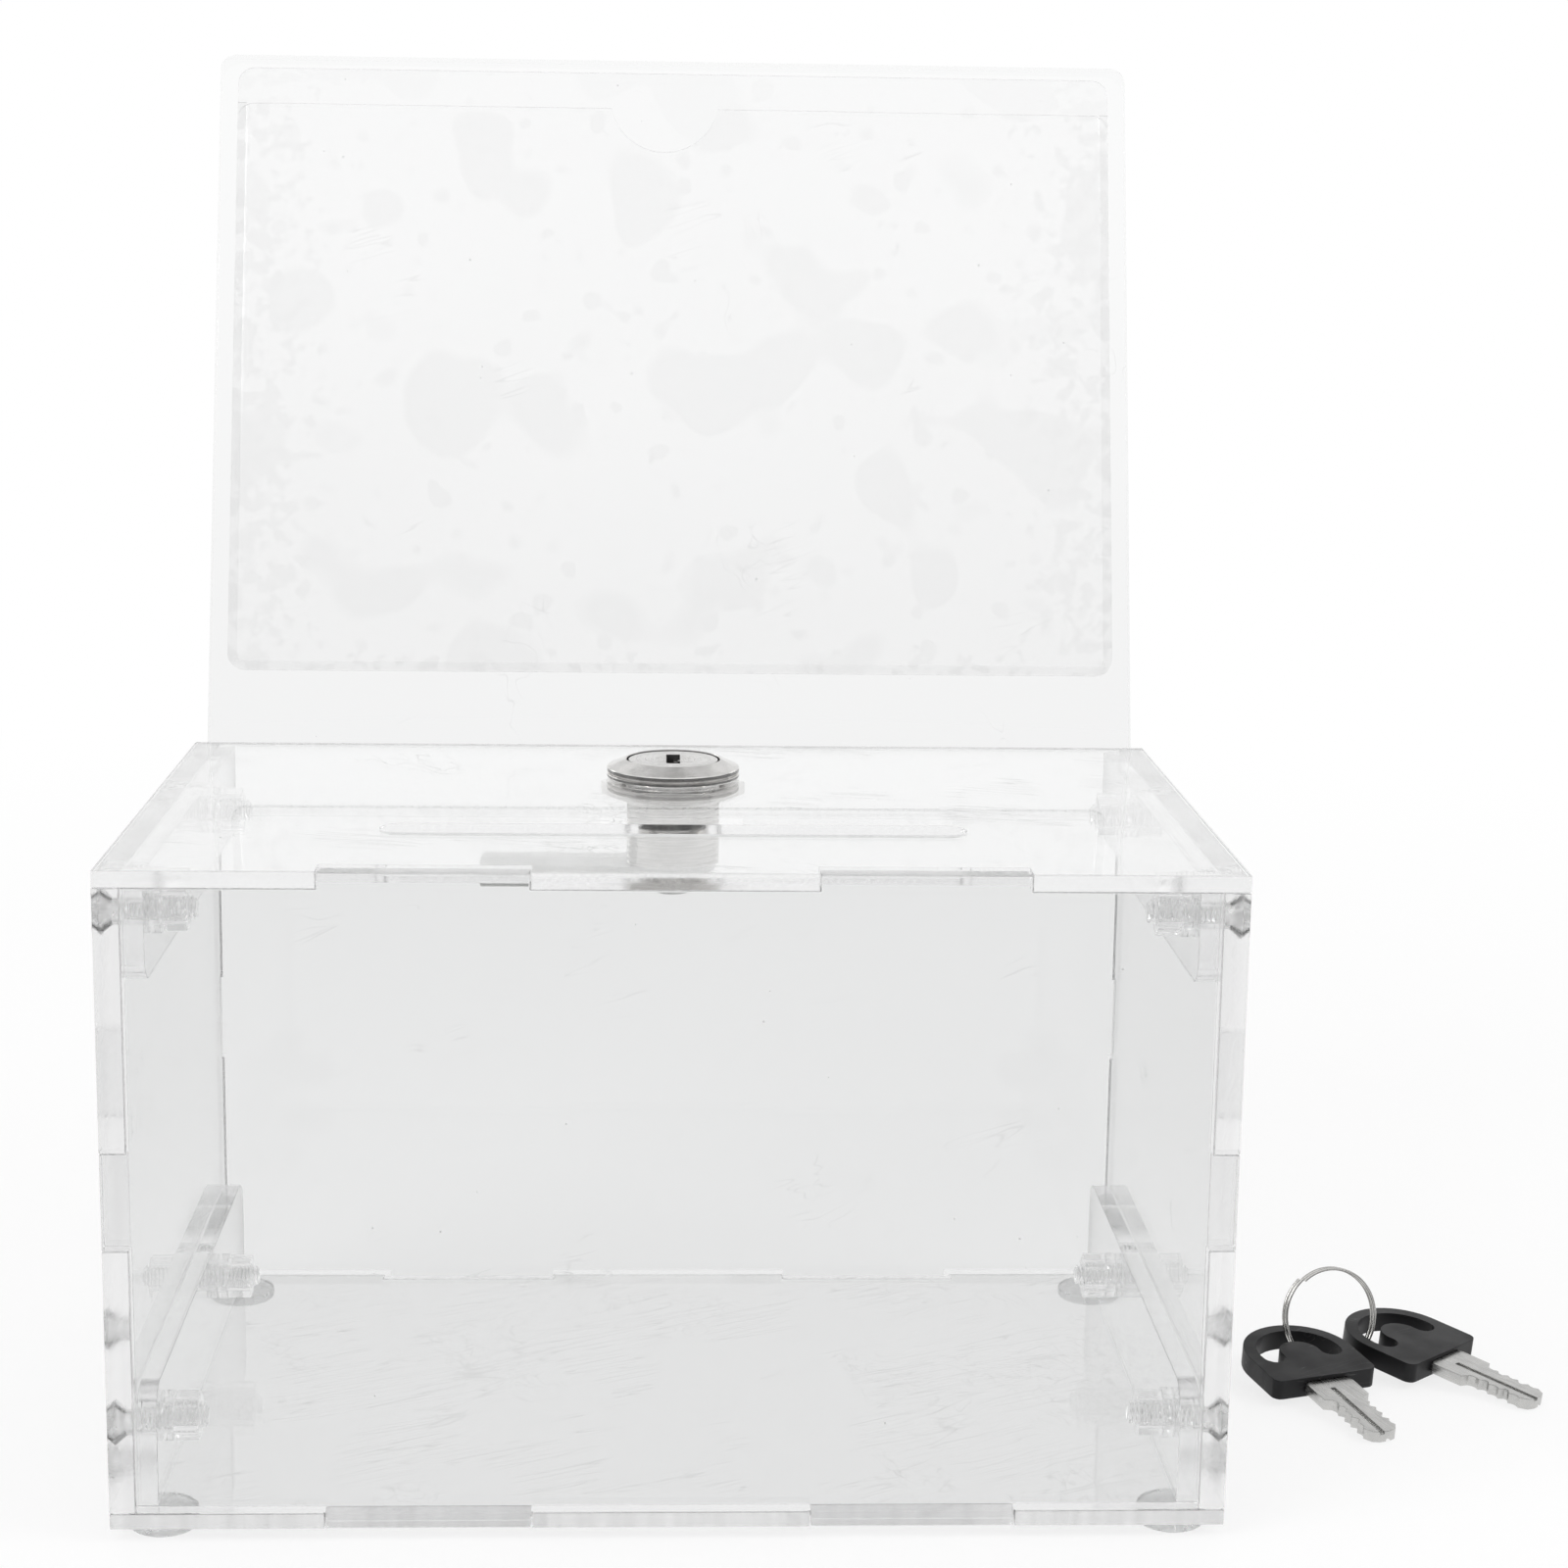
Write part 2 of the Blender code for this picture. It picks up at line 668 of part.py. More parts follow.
def lock_cam():
    """A flat arm on the plug's tang. At rest it points left, clear of the back panel."""
    hub = math.degrees(math.asin(CAM_HALF_WIDTH / CAM_HUB_RADIUS))
    tip = math.degrees(math.asin(CAM_HALF_WIDTH / CAM_REACH))
    outline = arc((0, 0), CAM_HUB_RADIUS, -180 + hub, 180 - hub, 16)
    outline += arc((0, 0), CAM_REACH, 180 - tip, 180 + tip, 4)
    half = TANG / 2 + 0.15 * MM
    hole = rounded_rectangle(-half, -half, half, half, 0.2 * MM, 2)
    middle = (0, LOCK_Y, CAM_TOP - CAM / 2)
    return finish(sheet("lock_cam", [outline, hole], CAM, at=middle), "zinc")


def cam_screw():
    head_top = CAM_TOP - CAM - GAP
    head_radius, shank = 4.2 * MM, 2 * MM
    shank_top = CAM_TOP + 3 * MM
    head_low = head_top - 1.8 * MM
    profile = [
        (0, shank_top),
        (shank - 0.3 * MM, shank_top),
        (shank, shank_top - 0.3 * MM),
        (shank, head_top),
        (head_radius, head_top),
        (head_radius, head_top - 0.7 * MM),
        (head_radius - 0.5 * MM, head_low + 0.4 * MM),
        (head_radius - 1.6 * MM, head_low),
        (0, head_low),
    ]
    screw = turned("cam_screw", profile, (0, LOCK_Y, 0), steps=28)
    arm, reach, depth = 0.5 * MM, 2.4 * MM, 1.1 * MM
    for name, x, y in (("a", arm, reach), ("b", reach, arm)):
        cross = block(
            f"cam_screw_cross_{name}",
            (-x, LOCK_Y - y, head_low - WALL),
            (x, LOCK_Y + y, head_low + depth),
        )
        boolean(screw, cross)
    return finish(screw, "zinc")


# Sign pocket


def on_header(distance):
    """A frame on the header: its Y runs up the slope from the bend, its Z stands off the front face."""
    lean = Matrix.Rotation(math.pi / 2 - HEADER_LEAN, 4, "X")
    place = Matrix.Translation((0, WALL_INNER, LID_UNDERSIDE)) @ lean
    return place @ Matrix.Translation((0, 0, distance))


def pocket_back_film():
    outline = rounded_rectangle(-POCKET_HALF, POCKET_FROM, POCKET_HALF, POCKET_TO, POCKET_CORNER)
    film = sheet("pocket_back_film", [outline], FILM)
    film.matrix_world = on_header(GAP + FILM / 2)
    return finish(film, "film")


def pocket_front_film():
    """As wide as the back film, open along its lower top edge, with a notch for the thumb."""
    top = POCKET_TO - POCKET_OPENING
    edge = rounded_rectangle(-POCKET_HALF, POCKET_FROM, POCKET_HALF, top, POCKET_CORNER)
    right_side = edge[:12]
    left_side = edge[12:]
    half_angle = 2 * math.atan(THUMB_DEPTH / THUMB_HALF)
    radius = THUMB_HALF / math.sin(half_angle)
    centre = (THUMB_X, top - THUMB_DEPTH + radius)
    spread = math.degrees(half_angle)
    notch = arc(centre, radius, -90 + spread, -90 - spread, 14)
    film = sheet("pocket_front_film", [right_side + notch + left_side], FILM)
    film.matrix_world = on_header(2 * GAP + 1.5 * FILM)
    return finish(film, "film")


# Keys


def key_head_outline():
    corner = (HEAD_RADIUS - HEAD_CORNER, HEAD_LENGTH - HEAD_CORNER)
    arch = arc((0, HEAD_RADIUS), HEAD_RADIUS, -90, 0, 12)
    return mirrored(arch + arc(corner, HEAD_CORNER, 0, 90, 4))


def ring_slot_outline():
    """A slot round the arch of the head, with round ends."""
    centre = (0, HEAD_RADIUS)
    half = RING_SLOT_WIDTH / 2
    reach = 8
    outer = arc(centre, RING_SLOT_RADIUS + half, -180 - reach, reach, 20)
    end = math.radians(reach)
    right = (RING_SLOT_RADIUS * math.cos(end), HEAD_RADIUS + RING_SLOT_RADIUS * math.sin(end))
    left = (-right[0], right[1])
    right_end = arc(right, half, reach, reach + 180, 8)[1:-1]
    inner = arc(centre, RING_SLOT_RADIUS - half, reach, -180 - reach, 16)
    left_end = arc(left, half, -reach, 180 - reach, 8)[1:-1]
    return outer + right_end + inner + left_end


def blade_outline():
    """Tongue, shoulder, and a narrower blade with shallow cuts along both edges."""
    step = 0.6 * MM
    first = SHOULDER_TO + step
    cut_length = (BLADE_TIP - 2 * MM - first) / len(BITTING)
    half = [
        (TONGUE_HALF, TONGUE_FROM),
        (TONGUE_HALF, HEAD_LENGTH + GAP),
        (SHOULDER_HALF, HEAD_LENGTH + 2 * GAP),
        (SHOULDER_HALF, SHOULDER_TO),
        (BLADE_HALF, first),
    ]
    for index, depth in enumerate(BITTING):
        start = first + index * cut_length
        floor = BLADE_HALF - depth * MM
        half += [(floor, start + 0.35 * cut_length), (floor, start + 0.65 * cut_length)]
        half.append((BLADE_HALF, start + cut_length))
    half += [(BLADE_HALF - 0.9 * MM, BLADE_TIP - 0.5 * MM), (0.9 * MM, BLADE_TIP)]
    return mirrored(half)


def slot_point(angle):
    """Where the ring passes through the head, in the key's own frame."""
    return Vector((RING_SLOT_RADIUS * math.sin(angle), HEAD_RADIUS - RING_SLOT_RADIUS * math.cos(angle), 0))


def ring_frame():
    """Centre of the ring, and the directions along its chord, up in its plane and along its axis."""
    first = Vector((*KEY_PLACES["key_1"]["at"], 0))
    second = Vector((*KEY_PLACES["key_2"]["at"], 0))
    chord = (second - first).normalized()
    across = Vector((-chord.y, chord.x, 0))
    up = math.cos(RING_TILT) * across + math.sin(RING_TILT) * Vector((0, 0, 1))
    offset = math.sqrt(RING_RADIUS**2 - ((second - first).length / 2) ** 2)
    axis = chord.cross(up)
    stack = RING_PITCH / 2 * abs(axis.z)
    height = TABLE + (RING_RADIUS - offset) * up.z + RING_WIRE / 2 + stack
    middle = (first + second) / 2 + Vector((0, 0, height))
    return middle + offset * up, chord, up, axis, height


def key_frame(place, height):
    """The key's frame in the world: u across, v towards the tip, sloping down to the table."""
    point = slot_point(place["slot"])
    drop = height - TABLE - BLADE_THICKNESS / 2 - 0.1 * MM
    slope = math.asin(drop / (BLADE_TIP - point.y))
    heading = place["heading"]
    level = math.cos(slope)
    across = Vector((math.cos(heading), math.sin(heading), 0))
    along = Vector((math.sin(heading) * level, -math.cos(heading) * level, -math.sin(slope)))
    turn = Matrix((across, along, across.cross(along))).transposed().to_4x4()
    return Matrix.Translation((*place["at"], height)) @ turn @ Matrix.Translation(-point)


def key(name, place, height):
    """A head and a blade, hung on an empty where the ring passes through the head."""
    frame = key_frame(place, height)
    pivot = add_object(f"{name}_pivot", None, PARTS)
    pivot.location = (*place["at"], height)
    bpy.context.view_layer.update()

    head = sheet(f"{name}_head", [key_head_outline(), ring_slot_outline()], HEAD_THICKNESS)
    round_edges(head, HEAD_EDGE)
    clearance = 0.15 * MM
    half = BLADE_THICKNESS / 2 + clearance
    pocket = block(
        f"{name}_pocket",
        (-TONGUE_HALF - clearance, TONGUE_FROM - clearance, -half),
        (TONGUE_HALF + clearance, HEAD_LENGTH + WALL, half),
    )
    pocket.matrix_world = frame @ pocket.matrix_basis
    finish(boolean(head, pocket), "black_plastic")

    blade = sheet(f"{name}_blade", [blade_outline()], BLADE_THICKNESS)
    for side_name, side, u in (("top", 1, 0.7 * MM), ("bottom", -1, -0.7 * MM)):
        floor = side * (BLADE_THICKNESS / 2 - GROOVE_DEPTH)
        beyond = side * BLADE_THICKNESS
        groove = block(
            f"{name}_groove_{side_name}",
            (u - GROOVE_WIDTH / 2, HEAD_LENGTH + 3 * MM, min(floor, beyond)),
            (u + GROOVE_WIDTH / 2, BLADE_TIP + WALL, max(floor, beyond)),
        )
        groove.matrix_world = frame @ groove.matrix_basis
        boolean(blade, groove)
    finish(blade, "nickel")

    for piece in (head, blade):
        piece.parent = pivot
        piece.matrix_parent_inverse = pivot.matrix_world.inverted()
        piece.matrix_world = frame


def key_ring(centre, chord, up, axis):
    """Two turns of one wire, which pass down through both heads and under them."""
    count = RING_TURNS * RING_POINTS_PER_TURN
    points = []
    for index in range(count + 1):
        turn = index / RING_POINTS_PER_TURN
        angle = RING_END + 2 * math.pi * turn
        round_part = RING_RADIUS * (math.cos(angle) * chord + math.sin(angle) * up)
        points.append(centre + round_part + axis * RING_PITCH * (turn - RING_TURNS / 2))
    nearest = min(
        (points[i] - points[j]).length
        for i in range(len(points))
        for j in range(i + RING_POINTS_PER_TURN // 2, len(points))
    )
    print(f"key ring: least gap between turns {(nearest - RING_WIRE) / MM:.2f} mm")
    data = bpy.data.curves.new("key_ring", "CURVE")
    data.dimensions = "3D"
    data.bevel_depth = RING_WIRE / 2
    data.bevel_resolution = 1
    data.use_fill_caps = True
    spline = data.splines.new("POLY")
    spline.points.add(len(points) - 1)
    for point, place in zip(spline.points, points):
        point.co = (*place, 1)
    return finish(add_object("key_ring", data, PARTS), "steel_wire")


def keys():
    centre, chord, up, axis, height = ring_frame()
    for name, place in KEY_PLACES.items():
        key(name, place, height)
    key_ring(centre, chord, up, axis)


def stand_on_origin():
    """Moves everything, so that the origin is the bottom centre of the box round all the pieces."""
    bpy.context.view_layer.update()
    for obj in [*PARTS.objects, *CUTTERS.objects]:
        if obj.parent is None:
            obj.matrix_world = Matrix.Translation(-Vector(BOTTOM_CENTRE)) @ obj.matrix_world
    bpy.context.view_layer.update()


def shade_round_pieces():
    """Smooth shading on the round faces, with the sharp edges kept."""
    for obj in PARTS.objects:
        if obj.type == "MESH" and obj.data.polygons:
            obj.data.shade_smooth()
            obj.data.set_sharp_from_angle(angle=math.radians(35))


floor_panel()
front_panel()
back_panel()
side_panel("side_panel_left", -1)
side_panel("side_panel_right", 1)
for rail_level in ("top", "bottom"):
    rail(f"rail_{rail_level}_left", -1, rail_level)
    rail(f"rail_{rail_level}_right", 1, rail_level)
fasteners()
feet()
lid()
lock_housing()
lock_nut()
lock_plug()
lock_cam()
cam_screw()
pocket_back_film()
pocket_front_film()
keys()
shade_round_pieces()
stand_on_origin()
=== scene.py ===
"""The looks of a clear raffle box: its sheets, film pocket, lock, plastic screws, feet and keys.

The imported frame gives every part's place in metres, with the front towards -Y and +Z up. Each
operator makes one piece or a group of like pieces and gives them their finish, and the last one
sets the stage. The settings can be changed in the panel before the operators run.
"""

import functools
import json
import math
from contextlib import contextmanager

import bmesh
import bpy
from bpy.props import FloatProperty, FloatVectorProperty, IntProperty, PointerProperty
from mathutils import Matrix, Vector, noise

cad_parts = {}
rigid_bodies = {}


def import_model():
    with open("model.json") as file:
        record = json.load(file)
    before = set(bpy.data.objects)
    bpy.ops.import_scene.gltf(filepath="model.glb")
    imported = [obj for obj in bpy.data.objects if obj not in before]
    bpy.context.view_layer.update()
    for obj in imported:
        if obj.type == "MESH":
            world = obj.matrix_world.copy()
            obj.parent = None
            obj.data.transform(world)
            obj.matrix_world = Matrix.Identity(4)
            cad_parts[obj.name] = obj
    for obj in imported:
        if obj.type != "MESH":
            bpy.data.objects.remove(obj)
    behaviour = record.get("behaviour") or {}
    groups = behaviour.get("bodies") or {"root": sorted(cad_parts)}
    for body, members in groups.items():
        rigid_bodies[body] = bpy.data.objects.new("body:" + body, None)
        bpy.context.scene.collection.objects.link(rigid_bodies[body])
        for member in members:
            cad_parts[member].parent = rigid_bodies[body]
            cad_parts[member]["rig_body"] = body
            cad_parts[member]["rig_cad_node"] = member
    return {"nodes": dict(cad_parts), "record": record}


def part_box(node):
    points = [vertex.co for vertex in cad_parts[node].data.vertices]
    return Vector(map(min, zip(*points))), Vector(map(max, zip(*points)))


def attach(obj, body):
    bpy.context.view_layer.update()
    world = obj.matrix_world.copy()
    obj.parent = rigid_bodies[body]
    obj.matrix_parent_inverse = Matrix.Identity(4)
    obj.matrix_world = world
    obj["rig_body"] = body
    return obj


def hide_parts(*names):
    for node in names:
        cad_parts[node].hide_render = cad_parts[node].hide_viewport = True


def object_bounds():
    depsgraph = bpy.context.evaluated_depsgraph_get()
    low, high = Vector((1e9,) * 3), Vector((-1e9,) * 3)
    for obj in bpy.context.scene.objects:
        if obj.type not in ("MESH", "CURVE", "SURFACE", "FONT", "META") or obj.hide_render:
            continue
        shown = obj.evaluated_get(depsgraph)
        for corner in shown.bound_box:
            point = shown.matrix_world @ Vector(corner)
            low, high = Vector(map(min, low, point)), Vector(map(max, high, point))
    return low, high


bl_info = {
    "name": "Raffle Box",
    "version": (1, 0, 0),
    "blender": (4, 5, 0),
    "location": "3D View > Sidebar > Raffle Box",
    "description": "Dresses the clear raffle box with its sheets, film pocket, lock, screws and keys",
    "category": "Object",
}

MM = 0.001
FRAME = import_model()
CAD_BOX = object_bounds()
BODY_OF = {
    node: body for body, nodes in FRAME["record"]["behaviour"]["bodies"].items() for node in nodes
}
SHEETS = (
    "floor_panel",
    "front_panel",
    "back_panel",
    "side_panel_left",
    "side_panel_right",
    "rail_top_left",
    "rail_top_right",
    "rail_bottom_left",
    "rail_bottom_right",
    "lid",
)
SCREW_PLACES = [
    f"{side}_{level}_{end}"
    for side in ("left", "right")
    for level in ("top", "bottom")
    for end in ("front", "rear")
]
KEY_AXES = ((79.8 * MM, -4.6 * MM, 4.57 * MM), (94.2 * MM, -0.8 * MM, 4.57 * MM))
KEYWAY_HALF = (1.2 * MM, 4.2 * MM)
FEET = [f"foot_{side}_{end}" for side in ("left", "right") for end in ("front", "rear")]


# Settings


def length_setting(name, description, default, low, high):
    """A length, with its default and limits given in millimetres."""
    return FloatProperty(
        name=name,
        description=description,
        subtype="DISTANCE",
        unit="LENGTH",
        default=default * MM,
        min=low * MM,
        max=high * MM,
    )


def angle_setting(name, description, default):
    """An angle, with its default given in degrees."""
    return FloatProperty(
        name=name,
        description=description,
        subtype="ANGLE",
        unit="ROTATION",
        default=math.radians(default),
    )


def colour_setting(name, description, default):
    return FloatVectorProperty(
        name=name, description=description, subtype="COLOR", default=default, min=0.0, max=1.0
    )


class RAFFLE_PG_sheets(bpy.types.PropertyGroup):
    colour: colour_setting(
        "Sheet colour", "What a sheet lets through, once from face to face", (0.91, 0.912, 0.912)
    )
    edge: length_setting(
        "Edge width", "Width of the polished chamfer along each cut edge", 0.16, 0.05, 1
    )
    roughness: FloatProperty(
        name="Roughness",
        description="Roughness of the clean face",
        subtype="FACTOR",
        default=0.012,
        min=0.0,
        max=1.0,
    )


class RAFFLE_PG_screws(bpy.types.PropertyGroup):
    radius: length_setting("Screw radius", "Outer radius of the thread", 1.88, 0.5, 5)
    head_radius: length_setting("Head radius", "Radius of the flat head", 3.6, 1, 8)
    pitch: length_setting("Pitch", "Distance from one turn of the thread to the next", 0.7, 0.3, 2)
    depth: length_setting("Thread depth", "How deep the thread is cut", 0.34, 0.1, 1)


class RAFFLE_PG_lock(bpy.types.PropertyGroup):
    head_radius: length_setting("Head radius", "Radius of the lock's rim on the lid", 11.55, 5, 20)
    face_radius: length_setting("Face radius", "Radius of the flat face inside the cone", 8.2, 3, 15)
    body_radius: length_setting(
        "Body radius", "Outer radius of the threaded body below the lid", 9.1, 4, 15
    )
    half_flat: length_setting(
        "Half across flats", "Distance from the axis to each of the body's two flats", 8, 4, 15
    )
    nickel: colour_setting("Nickel", "Colour of the bright nickel plate", (0.74, 0.73, 0.715))


class RAFFLE_PG_pocket(bpy.types.PropertyGroup):
    lean: angle_setting("Lean", "How far the header leans back from upright", 16.4)
    weld: length_setting(
        "Weld width", "Width of the pressed band that joins the two films", 1.7, 0.5, 5
    )
    bulge: length_setting("Bulge", "How far the front film stands proud in its waves", 0.55, 0, 2)


class RAFFLE_PG_ring(bpy.types.PropertyGroup):
    radius: length_setting(
        "Ring radius", "From the ring's middle to the middle of its wire", 8.7, 3, 30
    )
    wire: length_setting("Wire", "Thickness of the ring's wire", 0.62, 0.2, 3)
    pitch: length_setting(
        "Pitch", "How far the wire runs along the ring's axis in one turn", 1.13, 0.2, 5
    )
    turns: IntProperty(name="Turns", description="Turns of the wire", default=2, min=1, max=4)
    tilt: angle_setting("Tilt", "How steeply the ring stands from the table", 77)
    end: angle_setting("Wire end", "Where round the ring the wire begins and ends", 126)


class RAFFLE_PG_stage(bpy.types.PropertyGroup):
    place: FloatVectorProperty(
        name="Camera place",
        description="Where the camera stands, from the middle of the box's underside",
        subtype="TRANSLATION",
        unit="LENGTH",
        default=(-0.00387, -0.50724, 0.20756),
        precision=5,
    )
    pitch: angle_setting("Pitch", "How far the camera looks down", 11.07)
    yaw: angle_setting("Yaw", "How far the camera looks to the right", 2.53)
    roll: angle_setting("Roll", "How far the camera is turned about its line of sight", 0.83)
    lens: FloatProperty(
        name="Focal length",
        description="Lens for a 36 mm wide image, in millimetres",
        default=70.46,
        min=10.0,
        max=300.0,
    )
    lamp_power: FloatProperty(
        name="Lamp power",
        description="Power of the left lamp, from which the right one's follows",
        subtype="POWER",
        unit="POWER",
        default=5.0,
        min=0.0,
        max=100.0,
    )


# Places


def base():
    """The middle of the box's underside."""
    low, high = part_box("floor_panel")
    return Vector(((low.x + high.x) / 2, (low.y + high.y) / 2, low.z))


def lock_axis():
    low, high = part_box("lock_housing")
    return Vector(((low.x + high.x) / 2, (low.y + high.y) / 2, 0))


def ring_place(settings):
    """The ring's own frame. Its x runs from one key's swing axis to the other's, and its lowest
    arc lies on the table."""
    first, second = Vector(KEY_AXES[0]), Vector(KEY_AXES[1])
    chord = (second - first).normalized()
    across = Vector((-chord.y, chord.x, 0))
    up = math.cos(settings.tilt) * across + math.sin(settings.tilt) * Vector((0, 0, 1))
    axis = chord.cross(up)
    offset = math.sqrt(settings.radius**2 - ((second - first).length / 2) ** 2)
    middle = (first + second) / 2 + offset * up
    frame = Matrix((chord, up, axis)).transposed().to_4x4()
    return Matrix.Translation(middle) @ frame


def header_frame():
    """A frame on the header: X across, Y up the slope from the bend, Z off its front face."""
    lean = bpy.context.scene.raffle_pocket.lean
    bend = Matrix.Translation((base().x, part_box("back_panel")[0].y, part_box("lid")[0].z))
    return bend @ Matrix.Rotation(math.pi / 2 - lean, 4, "X")


# Shaping tools


def select_only(piece):
    bpy.ops.object.select_all(action="DESELECT")
    piece.select_set(True)
    bpy.context.view_layer.objects.active = piece


@contextmanager
def shaping(piece, mode="VERT", select="SELECT"):
    """Edit mode on one piece, with all of it selected at the start, or nothing with DESELECT."""
    select_only(piece)
    bpy.ops.object.mode_set(mode="EDIT")
    bpy.ops.mesh.select_mode(type=mode)
    bpy.ops.mesh.select_all(action=select)
    yield bmesh.from_edit_mesh(piece.data)
    bpy.ops.object.mode_set(mode="OBJECT")


def apply_modifier(piece, kind, **settings):
    """Adds one modifier with its settings and applies it."""
    select_only(piece)
    bpy.ops.object.modifier_add(type=kind)
    modifier = piece.modifiers[-1]
    for name, value in settings.items():
        setattr(modifier, name, value)
    bpy.ops.object.modifier_apply(modifier=modifier.name)


def clean(piece, distance=0.002 * MM):
    """Merges doubles and turns every face outwards."""
    with shaping(piece):
        bpy.ops.mesh.remove_doubles(threshold=distance)
        bpy.ops.mesh.normals_make_consistent(inside=False)


def shade_round(piece, degrees=35):
    """Smooth shading, with the edges sharper than the angle kept and flat faces left flat."""
    select_only(piece)
    bpy.ops.object.shade_smooth_by_angle(angle=math.radians(degrees))
    apply_modifier(piece, "WEIGHTED_NORMAL", keep_sharp=True, weight=90)


def merged_copy(node, name):
    """A piece of its own from a CAD node, its loose triangles merged and its flat faces whole."""
    select_only(FRAME["nodes"][node])
    bpy.ops.object.duplicate()
    piece = bpy.context.object
    piece.name = name
    piece.data.name = name
    piece.parent = None
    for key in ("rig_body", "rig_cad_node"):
        del piece[key]
    bpy.ops.mesh.customdata_custom_splitnormals_clear()
    with shaping(piece):
        bpy.ops.mesh.remove_doubles(threshold=0.004 * MM)
        bpy.ops.mesh.dissolve_limited(angle_limit=math.radians(0.5))
        bpy.ops.mesh.normals_make_consistent(inside=False)
    return piece


def soften_edges(piece, width, segments=2, degrees=40):
    apply_modifier(
        piece,
        "BEVEL",
        width=width,
        segments=segments,
        limit_method="ANGLE",
        angle_limit=math.radians(degrees),
        miter_outer="MITER_ARC",
    )


def softened_copy(node, name, width, degrees=40):
    """A piece of its own from a CAD node, with its edges softened."""
    piece = merged_copy(node, name)
    soften_edges(piece, width, degrees=degrees)
    shade_round(piece)
    return piece


def draw_profile(name, points):
    """A line in the XZ plane through (radius, height) points, drawn by extruding one vertex."""
    bpy.ops.object.select_all(action="DESELECT")
    bpy.ops.mesh.primitive_plane_add(size=1 * MM)
    piece = bpy.context.object
    piece.name = name
    with shaping(piece):
        bpy.ops.mesh.merge(type="CENTER")
        bpy.ops.transform.translate(value=(points[0][0], 0, points[0][1]))
        for (x, z), (next_x, next_z) in zip(points, points[1:]):
            step = (next_x - x, 0, next_z - z)
            bpy.ops.mesh.extrude_region_move(TRANSFORM_OT_translate={"value": step})
    return piece


def turned(name, points, steps):
    """A solid of revolution about Z from a profile."""
    piece = draw_profile(name, points)
    with shaping(piece):
        bpy.ops.mesh.spin(steps=steps, angle=2 * math.pi, center=(0, 0, 0), axis=(0, 0, 1))
    clean(piece)
    return piece


def threaded(name, radius, depth, pitch, low, high, steps):
    """A threaded rod between two heights: one tooth's line turned and lifted, its ends cut flat."""
    start = low - pitch
    root = radius - depth
    tooth = [
        (root, start),
        (root, start + 0.14 * pitch),
        (radius, start + 0.42 * pitch),
        (radius, start + 0.58 * pitch),
        (root, start + 0.86 * pitch),
        (root, start + pitch),
    ]
    piece = draw_profile(name, tooth)
    apply_modifier(
        piece,
        "SCREW",
        axis="Z",
        screw_offset=pitch,
        iterations=math.ceil((high - low) / pitch) + 3,
        steps=steps,
        render_steps=steps,
        use_merge_vertices=False,
    )
    clean(piece)
    for height, above in ((low, False), (high, True)):
        with shaping(piece):
            bpy.ops.mesh.bisect(
                plane_co=(0, 0, height),
                plane_no=(0, 0, 1),
                threshold=1e-7,
                use_fill=True,
                clear_inner=not above,
                clear_outer=above,
            )
    clean(piece)
    return piece


def cutter_box(corner, opposite):
    """A box between two opposite corners, to cut with."""
    corner, opposite = Vector(corner), Vector(opposite)
    size = [abs(side) for side in opposite - corner]
    bpy.ops.object.select_all(action="DESELECT")
    bpy.ops.mesh.primitive_cube_add(size=1, location=(opposite + corner) / 2, scale=size)
    return bpy.context.object


def cut(piece, cutter, operation="DIFFERENCE"):
    """A Boolean with a piece that is used up by it."""
    apply_modifier(piece, "BOOLEAN", object=cutter, operation=operation, solver="EXACT")
    bpy.data.objects.remove(cutter)


def put(piece, matrix):
    """Moves a piece to its place and leaves its object at the origin, its place in its mesh."""
    piece.matrix_world = matrix
    select_only(piece)
    bpy.ops.object.transform_apply(location=True, rotation=True, scale=True)


def copy_of(piece, name):
    """Another piece with a mesh of its own."""
    select_only(piece)
    bpy.ops.object.duplicate()
    twin = bpy.context.object
    twin.name = name
    return twin


def join(pieces):
    """Makes several shapes one piece, which keeps the first one's name."""
    bpy.ops.object.select_all(action="DESELECT")
    for piece in pieces:
        piece.select_set(True)
    bpy.context.view_layer.objects.active = pieces[0]
    bpy.ops.object.join()
    return pieces[0]


def flat_piece(name, outline, thickness, rounding):
    """A flat piece from (x, y) points, centred on z = 0, its edges rounded by a small bevel."""
    line = bpy.data.curves.new(name, "CURVE")
    line.dimensions = "2D"
    line.fill_mode = "BOTH"
    line.extrude = thickness / 2 - rounding
    line.bevel_depth = rounding
    line.bevel_resolution = 1
    line.offset = -rounding
    spline = line.splines.new("POLY")
    spline.points.add(len(outline) - 1)
    for point, (x, y) in zip(spline.points, outline):
        point.co = (x, y, 0, 1)
    spline.use_cyclic_u = True
    piece = bpy.data.objects.new(name, line)
    bpy.context.scene.collection.objects.link(piece)
    select_only(piece)
    bpy.ops.object.convert(target="MESH")
    clean(piece)
    return piece


def arc(centre, radius, start, end, steps):
    """Points on a round stretch, from start to end in degrees."""
    angles = [math.radians(start + (end - start) * i / steps) for i in range(steps + 1)]
    return [(centre[0] + radius * math.cos(a), centre[1] + radius * math.sin(a)) for a in angles]


def finish_faces(piece, material, *special):
    """Gives the piece its material, and a special one wherever its own test holds for a face."""
    piece.data.materials.clear()
    for index, (finish, holds) in enumerate(((material, lambda face: True), *special)):
        piece.data.materials.append(finish)
        for face in piece.data.polygons:
            if holds(face):
                face.material_index = index


def stand_for(piece, nodes, slot, material, *special):
    """The piece takes its nodes' place on their body and takes its finishes. The slot, which would name
    its finish, is not used.
    """
    finish_faces(piece, material, *special)
    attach(piece, BODY_OF[nodes[0]])
    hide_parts(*nodes)


# Shader tools and shared effects


